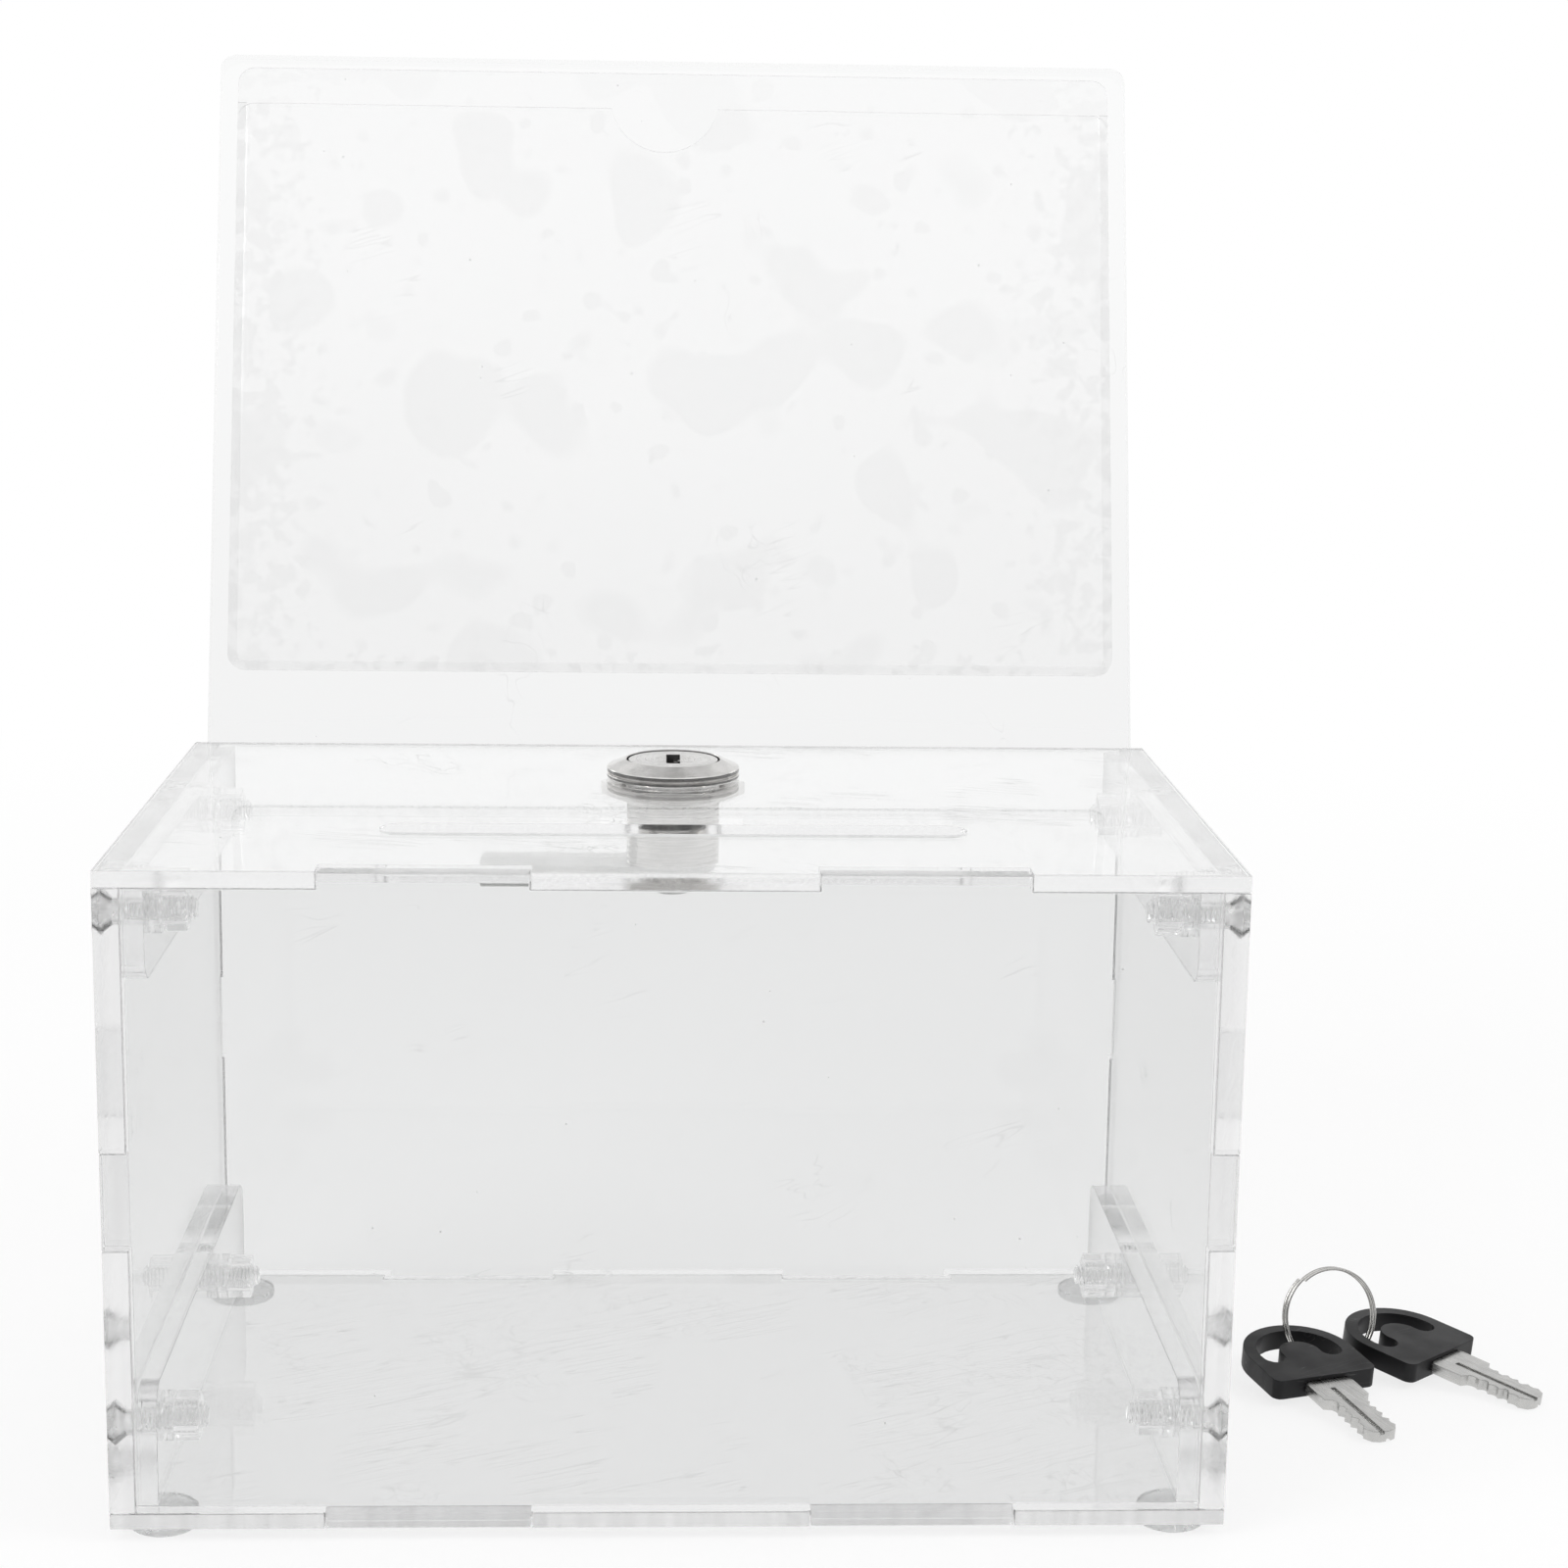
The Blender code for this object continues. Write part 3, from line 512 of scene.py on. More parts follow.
def feed(tree, node, inputs):
    """Sets a node's inputs, each to a value or to another node's output."""
    for name, value in inputs.items():
        if isinstance(value, bpy.types.NodeSocket):
            tree.links.new(value, node.inputs[name])
        else:
            node.inputs[name].default_value = value


def add_node(tree, kind, inputs=None, **settings):
    node = tree.nodes.new(kind)
    for name, value in settings.items():
        setattr(node, name, value)
    feed(tree, node, inputs or {})
    return node


def new_group(name, inputs, outputs):
    """A shader group. Its inputs are vectors and numbers with defaults, its outputs numbers."""
    tree = bpy.data.node_groups.new(name, "ShaderNodeTree")
    for socket_name, value in inputs.items():
        kind = "NodeSocketVector" if isinstance(value, tuple) else "NodeSocketFloat"
        socket = tree.interface.new_socket(socket_name, in_out="INPUT", socket_type=kind)
        socket.default_value = value
    for socket_name in outputs:
        tree.interface.new_socket(socket_name, in_out="OUTPUT", socket_type="NodeSocketFloat")
    given = tree.nodes.new("NodeGroupInput").outputs
    return tree, given, tree.nodes.new("NodeGroupOutput")


def math_node(tree, operation, first, second=0.0, third=0.0):
    node = add_node(tree, "ShaderNodeMath", {0: first, 1: second, 2: third}, operation=operation)
    return node.outputs[0]


def vector_math(tree, operation, *vectors):
    """A step of vector arithmetic, whose result is a number for a length or a dot product."""
    node = add_node(tree, "ShaderNodeVectorMath", dict(enumerate(vectors)), operation=operation)
    return node.outputs[1 if operation in ("DOT_PRODUCT", "LENGTH", "DISTANCE") else 0]


def noise_value(tree, vector, scale, detail=2.0, distortion=0.0):
    inputs = {"Vector": vector, "Scale": scale, "Detail": detail, "Distortion": distortion}
    return add_node(tree, "ShaderNodeTexNoise", inputs).outputs["Fac"]


def between(tree, value, low, high, to_low=0.0, to_high=1.0):
    """A value carried smoothly from one range to another, and held at its ends."""
    inputs = dict(enumerate((value, low, high, to_low, to_high)))
    node = add_node(tree, "ShaderNodeMapRange", inputs, interpolation_type="SMOOTHSTEP")
    return node.outputs[0]


def marks_along_group():
    """Marks that run one way over a face: a fine grain, and scattered thin scratches."""
    tree, given, result = new_group(
        "marks_along",
        {"Vector": (0, 0, 0), "Along": (1, 0, 0), "Spacing": 0.002, "Length": 30.0, "Share": 0.5},
        ("Grain", "Scratches"),
    )
    along = vector_math(tree, "NORMALIZE", given["Along"])
    run = vector_math(tree, "DOT_PRODUCT", given["Vector"], along)
    kept = math_node(tree, "DIVIDE", 1.0, given["Length"])
    pull = math_node(tree, "MULTIPLY", run, math_node(tree, "SUBTRACT", kept, 1.0))
    shift = add_node(tree, "ShaderNodeVectorMath", {0: along, 3: pull}, operation="SCALE")
    pressed = vector_math(tree, "ADD", given["Vector"], shift.outputs[0])
    scale = math_node(tree, "DIVIDE", 1.0, given["Spacing"])
    grain = noise_value(tree, pressed, scale, 1.0)
    off_middle = math_node(tree, "ABSOLUTE", math_node(tree, "SUBTRACT", grain, 0.5))
    line = between(tree, off_middle, 0.0, 0.012, 1.0, 0.0)
    patches = noise_value(tree, given["Vector"], math_node(tree, "MULTIPLY", scale, 0.16))
    bare = math_node(tree, "SUBTRACT", 1.0, given["Share"])
    low = math_node(tree, "MULTIPLY_ADD", bare, 0.6, 0.2)
    here = between(tree, patches, low, math_node(tree, "ADD", low, 0.06))
    feed(tree, result, {"Grain": grain, "Scratches": math_node(tree, "MULTIPLY", line, here)})
    return tree


def specks_group():
    """Round specks of dust or tiny bubbles, one at most in each cell of the given spacing."""
    tree, given, result = new_group(
        "specks", {"Vector": (0, 0, 0), "Spacing": 0.006, "Size": 0.04, "Share": 0.5}, ("Specks",)
    )
    scale = math_node(tree, "DIVIDE", 1.0, given["Spacing"])
    cells = add_node(tree, "ShaderNodeTexVoronoi", {"Vector": given["Vector"], "Scale": scale})
    colour = add_node(tree, "ShaderNodeSeparateColor", {0: cells.outputs["Color"]}).outputs
    size = math_node(tree, "MULTIPLY", given["Size"], colour["Green"])
    near = math_node(tree, "LESS_THAN", cells.outputs["Distance"], size)
    chosen = math_node(tree, "LESS_THAN", colour["Red"], given["Share"])
    feed(tree, result, {"Specks": math_node(tree, "MULTIPLY", near, chosen)})
    return tree


def turned_marks_group():
    """Fine rings about a vertical axis through a centre, as a lathe leaves them."""
    tree, given, result = new_group(
        "turned_marks", {"Vector": (0, 0, 0), "Centre": (0, 0, 0), "Spacing": 0.0002}, ("Rings",)
    )
    offset = vector_math(tree, "SUBTRACT", given["Vector"], given["Centre"])
    part = add_node(tree, "ShaderNodeSeparateXYZ", {0: offset}).outputs
    flat = add_node(tree, "ShaderNodeCombineXYZ", {"X": part["X"], "Y": part["Y"]})
    radius = vector_math(tree, "LENGTH", flat.outputs[0])
    line = add_node(tree, "ShaderNodeCombineXYZ", {"X": radius, "Y": part["Z"]})
    scale = math_node(tree, "DIVIDE", 1.0, given["Spacing"])
    feed(tree, result, {"Rings": noise_value(tree, line.outputs[0], scale)})
    return tree


def cling_group():
    """Where a film has wetted out against the sheet behind it: round soft patches, and a fine
    mottling that gathers towards the film's rim."""
    tree, given, result = new_group(
        "cling",
        {
            "Vector": (0, 0, 0),
            "Centre": (0, 0, 0),
            "Half Size": (0.08, 1.0, 0.057),
            "Patch": 0.016,
            "Share": 0.4,
        },
        ("Patches", "Mottling"),
    )
    offset = vector_math(tree, "SUBTRACT", given["Vector"], given["Centre"])
    share = vector_math(tree, "DIVIDE", offset, given["Half Size"])
    part = add_node(tree, "ShaderNodeSeparateXYZ", {0: share}).outputs
    sideways = math_node(tree, "ABSOLUTE", part["X"])
    downwards = math_node(tree, "MULTIPLY", part["Z"], -1.0)
    rim = between(tree, math_node(tree, "MAXIMUM", sideways, downwards), 0.72, 0.98)
    scale = math_node(tree, "DIVIDE", 1.0, given["Patch"])
    large = noise_value(tree, given["Vector"], scale, 0.6)
    blobs = add_node(
        tree,
        "ShaderNodeTexVoronoi",
        {"Vector": given["Vector"], "Scale": scale, "Smoothness": 0.6},
        feature="SMOOTH_F1",
    )
    round_part = math_node(tree, "MULTIPLY_ADD", blobs.outputs["Distance"], -0.4, 0.45)
    mixed = math_node(tree, "MULTIPLY_ADD", large, 0.5, round_part)
    limit = math_node(tree, "SUBTRACT", 0.7, math_node(tree, "MULTIPLY", given["Share"], 0.4))
    patch = between(tree, mixed, limit, math_node(tree, "ADD", limit, 0.025))
    fine_scale = math_node(tree, "MULTIPLY", scale, 5.5)
    fine = noise_value(tree, given["Vector"], fine_scale, 2.5, 0.4)
    fine_limit = math_node(tree, "MULTIPLY_ADD", rim, -0.2, 0.68)
    mottling = between(tree, fine, fine_limit, math_node(tree, "ADD", fine_limit, 0.05))
    feed(tree, result, {"Patches": patch, "Mottling": mottling})
    return tree


GROUP_MAKERS = {
    "marks_along": marks_along_group,
    "specks": specks_group,
    "turned_marks": turned_marks_group,
    "cling": cling_group,
}


def effect(tree, name, place, **values):
    """The outputs of a shared effect, which is built the first time that it is asked for."""
    group = bpy.data.node_groups.get(name) or GROUP_MAKERS[name]()
    node = add_node(tree, "ShaderNodeGroup", node_tree=group)
    feed(tree, node, {"Vector": place, **values})
    return node.outputs


def scratches_and_grain(tree, place, along, spacing, length, share):
    values = {"Along": along, "Spacing": spacing, "Length": length, "Share": share}
    return effect(tree, "marks_along", place, **values)


def new_material(name, **values):
    """A material with its shader's plain values set, its tree, shader and object coordinates."""
    material = bpy.data.materials.new(name)
    material.use_nodes = True
    tree = material.node_tree
    shader = tree.nodes["Principled BSDF"]
    for socket_name, value in values.items():
        shader.inputs[socket_name.replace("_", " ")].default_value = value
    place = tree.nodes.new("ShaderNodeTexCoord").outputs["Object"]
    return material, tree, shader, place


def grey(tone):
    return (tone, tone, tone, 1)


def blend_colour(tree, factor, first, second):
    node = add_node(tree, "ShaderNodeMix", {0: factor, 6: first, 7: second}, data_type="RGBA")
    return node.outputs[2]


def surface(tree, shader, colour, rough, height, distance, strength):
    """Feeds a shader its colour and roughness, and a bump of a height."""
    feed(tree, shader, {"Base Color": colour, "Roughness": rough})
    relief = {"Height": height, "Distance": distance, "Strength": strength}
    feed(tree, shader, {"Normal": add_node(tree, "ShaderNodeBump", relief).outputs["Normal"]})


def mottled_material(name, scale, detail, tones, rough, relief, **values):
    """A finish whose colour, roughness and fine relief follow one uneven skin."""
    material, tree, shader, place = new_material(name, **values)
    skin = noise_value(tree, place, scale, detail)
    colour = blend_colour(tree, skin, *tones)
    surface(tree, shader, colour, between(tree, skin, 0.3, 0.7, *rough), skin, *relief)
    return material


def brushed_material(name, marks, scale, tones, rough, relief, **values):
    """A plated metal with a grain that runs one way and a mottled colour."""
    material, tree, shader, place = new_material(name, Metallic=1.0, **values)
    grain = scratches_and_grain(tree, place, *marks)["Grain"]
    colour = blend_colour(tree, noise_value(tree, place, scale, 4.0), *tones)
    surface(tree, shader, colour, between(tree, grain, 0.3, 0.7, *rough), grain, *relief)
    return material


# Finishes


def clear_sheet_material(name, scratches, dust, along=(1.0, 0.15, 0.3), painted_light_scale=1.0):
    """Polished acrylic with hairline scratches and a little dust on it. Its colour is scaled for each
    sheet, which paints light over a whole sheet when above one and shade when below one.
    """
    settings = bpy.context.scene.raffle_sheets
    clean_colour = (*[channel * painted_light_scale for channel in settings.colour], 1)
    material, tree, shader, place = new_material(
        name, Transmission_Weight=1.0, IOR=1.49, Roughness=settings.roughness
    )
    first = scratches_and_grain(tree, place, along, 0.0032, 14.0, scratches)
    crossing = (-0.4, 1.0, 0.7)
    second = scratches_and_grain(tree, place, crossing, 0.0045, 18.0, scratches * 0.8)
    scratch = math_node(tree, "MAXIMUM", first["Scratches"], second["Scratches"])
    specks = effect(tree, "specks", place, Spacing=0.005, Size=0.045, Share=dust)["Specks"]
    haze = noise_value(tree, place, 24.0, 3.0)
    rough = between(tree, haze, 0.45, 0.75, settings.roughness, 0.03)
    rough = math_node(tree, "MULTIPLY_ADD", scratch, 0.16, rough)
    rough = math_node(tree, "MULTIPLY_ADD", specks, 0.4, rough)
    wear = math_node(tree, "MULTIPLY_ADD", scratch, 0.35, specks)
    colour = blend_colour(tree, wear, clean_colour, grey(0.62))
    surface(tree, shader, colour, rough, scratch, 0.004 * MM, 0.6)
    return material


def cut_edge_material(name, tone):
    """The edge of a sheet as the laser leaves it: clear, and slightly frosted by fine upright lines. The
    lines' tone is given for each sheet, and a dark tone paints shade along the edge.
    """
    material, tree, shader, place = new_material(
        name, Transmission_Weight=1.0, IOR=1.49, Roughness=0.12
    )
    bands = add_node(tree, "ShaderNodeMapping", {"Vector": place, "Scale": (700.0, 700.0, 12.0)})
    colour = blend_colour(tree, noise_value(tree, bands.outputs[0], 1.0), grey(1), grey(tone))
    grain = scratches_and_grain(tree, place, (0.3, 0.3, 1.0), 0.0007, 18.0, 0.6)["Grain"]
    waves = noise_value(tree, place, 130.0)
    rough = between(tree, grain, 0.3, 0.7, 0.07, 0.17)
    height = math_node(tree, "MULTIPLY_ADD", grain, 0.1, waves)
    surface(tree, shader, colour, rough, height, 0.08 * MM, 0.5)
    return material


def drilled_material():
    """Acrylic as a drill and a countersink leave it: white and matt, with a fine grain."""
    tones = (grey(0.97), grey(0.9))
    plain = {"Transmission_Weight": 1.0, "IOR": 1.25, "Roughness": 0.3}
    return mottled_material("drilled_acrylic", 500.0, 2.0, tones, (0.25, 0.4), (0.03 * MM, 0.5), **plain)


def cut_film_material():
    """The cut rim of a film, which catches the light as a thin grey line."""
    tones = (grey(0.86), grey(0.72))
    plain = {"Transmission_Weight": 0.75, "IOR": 1.4, "Roughness": 0.25}
    return mottled_material("cut_film", 800.0, 2.0, tones, (0.2, 0.35), (0.02 * MM, 0.5), **plain)


def painted_shade_recess_material():
    """Painted shade: dark, mottled metal down in the keyway and the gap round the plug, where shade
    falls.
    """
    tones = ((0.035, 0.034, 0.033, 1), (0.09, 0.088, 0.085, 1))
    plain = {"Metallic": 0.6, "Roughness": 0.5}
    return mottled_material("recess_painted_shade", 900.0, 3.0, tones, (0.4, 0.65), (0.02 * MM, 0.5), **plain)


def ring_material():
    """Bright spring wire with a fine uneven skin."""
    tones = ((0.72, 0.71, 0.69, 1), (0.55, 0.545, 0.53, 1))
    plain = {"Metallic": 1.0, "Roughness": 0.18}
    return mottled_material("ring_wire", 1500.0, 3.0, tones, (0.12, 0.28), (0.008 * MM, 0.4), **plain)


def clear_film_material(name, patch_share, clear=0.985, ripples=0.35):
    """Thin clear film, clinging in patches to what is behind it."""
    material, tree, shader, place = new_material(
        name, Transmission_Weight=1.0, IOR=1.33, Roughness=0.03
    )
    low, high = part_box("pocket_front_film")
    centre = (low + high) / 2
    patches = effect(tree, "cling", place, Centre=centre, Patch=0.017, Share=patch_share)
    small = effect(tree, "cling", place, Centre=centre, Patch=0.0055, Share=patch_share - 0.22)
    wetted = math_node(tree, "MAXIMUM", patches["Patches"], small["Patches"])
    specks = effect(tree, "specks", place, Spacing=0.006, Size=0.05, Share=0.2)["Specks"]
    marks = scratches_and_grain(tree, place, (0.2, 0.25, 1.0), 0.006, 9.0, 0.35)
    wet = blend_colour(tree, wetted, grey(clear), grey(clear * 0.984))
    cloudy = math_node(tree, "MULTIPLY", patches["Mottling"], 0.8)
    wet = blend_colour(tree, cloudy, wet, grey(clear * 0.976))
    colour = blend_colour(tree, specks, wet, grey(0.75))
    rough = math_node(tree, "MULTIPLY_ADD", patches["Mottling"], 0.06, 0.02)
    rough = math_node(tree, "MULTIPLY_ADD", marks["Scratches"], 0.12, rough)
    surface(tree, shader, colour, rough, noise_value(tree, place, 70.0), 0.05 * MM, ripples)
    return material


def clear_nylon_material():
    """Moulded plastic: clear, slightly milky, with a fine uneven skin."""
    material, tree, shader, place = new_material(
        "clear_nylon", Transmission_Weight=1.0, IOR=1.36, Roughness=0.06
    )
    skin = noise_value(tree, place, 900.0, 3.0)
    colour = blend_colour(tree, noise_value(tree, place, 260.0), grey(0.965), grey(0.9))
    surface(tree, shader, colour, between(tree, skin, 0.3, 0.7, 0.04, 0.1), skin, 0.02 * MM, 0.4)
    return material


def clear_rubber_material():
    """Soft clear bumper: hazy, with dust held on its skin."""
    material, tree, shader, place = new_material(
        "clear_rubber", Transmission_Weight=0.9, IOR=1.36, Roughness=0.3
    )
    specks = effect(tree, "specks", place, Spacing=0.0012, Size=0.12, Share=0.4)["Specks"]
    skin = noise_value(tree, place, 700.0, 3.0)
    haze = blend_colour(tree, skin, (0.94, 0.945, 0.945, 1), (0.86, 0.865, 0.865, 1))
    colour = blend_colour(tree, specks, haze, (0.6, 0.6, 0.59, 1))
    surface(tree, shader, colour, between(tree, skin, 0.3, 0.7, 0.24, 0.42), skin, 0.05 * MM, 0.5)
    return material


def nickel_material(name, centre, ring_spacing=0.00025, roughness=0.13, tone=1.0):
    """Bright nickel with turned rings, a few handling scratches and uneven polish. A tone below one
    darkens the whole copy as painted shade.
    """
    nickel = bpy.context.scene.raffle_lock.nickel
    bright, dull = ((*[channel * tone * share for channel in nickel], 1) for share in (1.0, 0.86))
    material, tree, shader, place = new_material(name, Metallic=1.0, Roughness=roughness)
    rings = effect(tree, "turned_marks", place, Centre=centre, Spacing=ring_spacing)["Rings"]
    marks = scratches_and_grain(tree, place, (1, 0.4, 0.1), 0.0009, 16.0, 0.45)
    polish = between(tree, noise_value(tree, place, 320.0, 3.0), 0.35, 0.7)
    rough = between(tree, rings, 0.3, 0.7, roughness * 0.7, roughness * 1.5)
    rough = math_node(tree, "MULTIPLY_ADD", marks["Scratches"], 0.12, rough)
    surface(tree, shader, blend_colour(tree, polish, bright, dull), rough, rings, 0.004 * MM, 0.5)
    return material


def zinc_material():
    """Zinc plate on pressed steel: brushed one way, with a duller mottled skin."""
    marks = ((1, 0.05, 0), 0.00022, 24.0, 0.8)
    tones = ((0.66, 0.66, 0.64, 1), (0.52, 0.53, 0.53, 1))
    relief = (0.01 * MM, 0.6)
    return brushed_material("zinc_plate", marks, 240.0, tones, (0.24, 0.44), relief, Roughness=0.34)


def blade_material(along):
    """Nickel-plated key blade: fine lengthwise milling and a worn, slightly dull face."""
    marks = (along, 0.00018, 30.0, 0.7)
    tones = ((0.62, 0.615, 0.6, 1), (0.45, 0.45, 0.445, 1))
    relief = (0.012 * MM, 0.5)
    return brushed_material("key_blade_nickel", marks, 420.0, tones, (0.2, 0.42), relief, Roughness=0.3)


def black_plastic_material():
    """Moulded black plastic: fine grain, paler rubbed places and a few light scuffs."""
    material, tree, shader, place = new_material(
        "black_plastic", Roughness=0.42, IOR=1.5, Specular_IOR_Level=0.22
    )
    grain = noise_value(tree, place, 3200.0, 3.0)
    rub = noise_value(tree, place, 130.0, 4.0)
    scuffs = scratches_and_grain(tree, place, (1, 0.6, 0), 0.0016, 9.0, 0.45)["Scratches"]
    specks = effect(tree, "specks", place, Spacing=0.0014, Size=0.07, Share=0.12)["Specks"]
    colour = blend_colour(tree, rub, (0.008, 0.008, 0.009, 1), (0.014, 0.014, 0.015, 1))
    colour = blend_colour(tree, scuffs, colour, grey(0.06))
    colour = blend_colour(tree, specks, colour, (0.16, 0.16, 0.155, 1))
    surface(tree, shader, colour, between(tree, rub, 0.35, 0.7, 0.34, 0.5), grain, 0.02 * MM, 0.35)
    return material


# Pieces


def is_cut_edge(node, face):
    """Whether a face of a sheet is one of its cut edges or chamfers, and not a polished side."""
    x, y, z = (abs(part) for part in face.normal)
    if node == "back_panel":
        return x > 0.2 or z > 0.8
    across = {"floor_panel": z, "lid": z, "front_panel": y}.get(node, x)
    return across < 0.95


def is_drilled(holes, face):
    """Whether a face lies in one of the countersunk holes for the screws."""
    if abs(face.normal.x) > 0.95:
        return False
    return any((face.center.yz - hole).length < 4.2 * MM for hole in holes)


class RAFFLE_OT_sheets(bpy.types.Operator):
    """Cut edges polished and faces finished on every acrylic sheet"""

    bl_idname = "raffle.sheets"
    bl_label = "Sheets"

    def execute(self, context):
        settings = context.scene.raffle_sheets
        cut_edge = cut_edge_material("cut_edge", 0.98)
        # The side panels' and the floor's edges get darker lines, which paint shade on them.
        edges = {
            "side": cut_edge_material("side_cut_edge_painted_shade", 0.72),
            "floor": cut_edge_material("floor_cut_edge_painted_shade", 0.5),
        }
        drilled = drilled_material()
        screws = [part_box(f"screw_{place}") for place in SCREW_PLACES]
        holes = [(low.yz + high.yz) / 2 for low, high in screws]
        light = clear_sheet_material("clear_sheet", 0.28, 0.2)
        worn = clear_sheet_material("floor_sheet", 0.55, 0.6, along=(1.0, 0.5, 0.0))
        # The lid and the back are made lighter and the sides darker: painted light and painted shade on
        # the one acrylic.
        top = clear_sheet_material("lid_sheet", 0.4, 0.4, along=(1.0, -0.3, 0.0), painted_light_scale=1.095)
        side = clear_sheet_material("side_sheet", 0.3, 0.2, along=(0.0, 1.0, 0.2), painted_light_scale=0.93)
        back = clear_sheet_material("back_sheet", 0.28, 0.2, painted_light_scale=1.025)
        special = {"floor_panel": worn, "lid": top, "back_panel": back}
        special.update(side_panel_left=side, side_panel_right=side)
        for node in SHEETS:
            piece = softened_copy(node, f"{node}_sheet", settings.edge)
            on_edge = functools.partial(is_cut_edge, node)
            edge = edges.get(node.split("_")[0], cut_edge)
            finishes = [special.get(node, light), (edge, on_edge)]
            if node.startswith("side"):
                finishes.append((drilled, functools.partial(is_drilled, holes)))
            stand_for(piece, [node], "clear_acrylic", *finishes)
        return {"FINISHED"}


class RAFFLE_OT_screws(bpy.types.Operator):
    """Threaded plastic screws with slotted heads, and their washers and nuts"""

    bl_idname = "raffle.screws"
    bl_label = "Screws, washers and nuts"

    def execute(self, context):
        nylon = clear_nylon_material()
        middle_x = base().x
        low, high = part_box(f"screw_{SCREW_PLACES[-1]}")
        rod = self.rod_with_head(context.scene.raffle_screws, low.x - middle_x, high.x - middle_x)
        for index, place in enumerate(SCREW_PLACES):
            low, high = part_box(f"screw_{place}")
            middle = (low + high) / 2
            side = 1 if middle.x > middle_x else -1
            turn = Matrix.Rotation(index * math.radians(37), 4, "Z")
            screw = copy_of(rod, f"plastic_screw_{place}")
            outward = Matrix.Rotation(side * math.pi / 2, 4, "Y")
            put(screw, Matrix.Translation((middle_x, middle.y, middle.z)) @ outward @ turn)
            stand_for(screw, [f"screw_{place}"], "clear_nylon", nylon)
            for kind, width in (("washer", 0.2 * MM), ("nut", 0.4 * MM)):
                piece = softened_copy(f"{kind}_{place}", f"plastic_{kind}_{place}", width, 50)
                stand_for(piece, [f"{kind}_{place}"], "clear_nylon", nylon)
        bpy.data.objects.remove(rod)
        return {"FINISHED"}

    def rod_with_head(self, settings, tip, head):
        """One screw along Z, between the heights of its tip and of its head's flat face."""
        chamfer = 0.4 * MM
        cone = settings.head_radius - settings.radius
        rod = threaded(
            "plastic_screw",
            settings.radius,
            settings.depth,
            settings.pitch,
            tip + chamfer,
            head - cone + 0.1 * MM,
            20,
        )
        with shaping(rod, "FACE", "DESELECT") as shape:
            for face in shape.faces:
                face.select = face.normal.z < -0.9 and face.calc_center_median().z < tip + 1.2 * chamfer
            bpy.ops.mesh.extrude_region_move(TRANSFORM_OT_translate={"value": (0, 0, -chamfer)})
            bpy.ops.transform.resize(value=(0.74, 0.74, 1))
        rim = 0.12 * MM
        neck = head - cone - 0.6 * MM
        profile = [
            (0, neck),
            (settings.radius - settings.depth, neck),
            (settings.radius, head - cone),
            (settings.head_radius - rim, head - 1.6 * rim),
            (settings.head_radius, head - 0.8 * rim),
            (settings.head_radius - rim, head),
            (0, head),
        ]
        cut(rod, turned("screw_head", profile, 32), "UNION")
        half_slot, slot_depth = 0.5 * MM, 1.1 * MM
        reach = 2 * settings.head_radius
        slot = cutter_box((-half_slot, -reach, head - slot_depth), (half_slot, reach, head + 1 * MM))
        cut(rod, slot)
        clean(rod)
        shade_round(rod, 32)
        return rod


class RAFFLE_OT_feet(bpy.types.Operator):
    """Soft clear bumpers under the corners"""

    bl_idname = "raffle.feet"
    bl_label = "Feet"

    def execute(self, context):
        rubber = clear_rubber_material()
        for node in FEET:
            low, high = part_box(node)
            radius, height = (high.x - low.x) / 2, high.z - low.z
            rounding, chamfer = 0.45 * height, 0.15 * MM
            rim = arc((radius - rounding, rounding), rounding, 0, -90, 8)
            profile = [(0, height), (radius - chamfer, height), (radius, height - chamfer)]
            foot = turned(f"bumper_{node}", profile + rim + [(0, 0)], 48)
            shade_round(foot, 40)
            put(foot, Matrix.Translation(((low.x + high.x) / 2, (low.y + high.y) / 2, low.z)))
            stand_for(foot, [node], "clear_rubber", rubber)
        return {"FINISHED"}


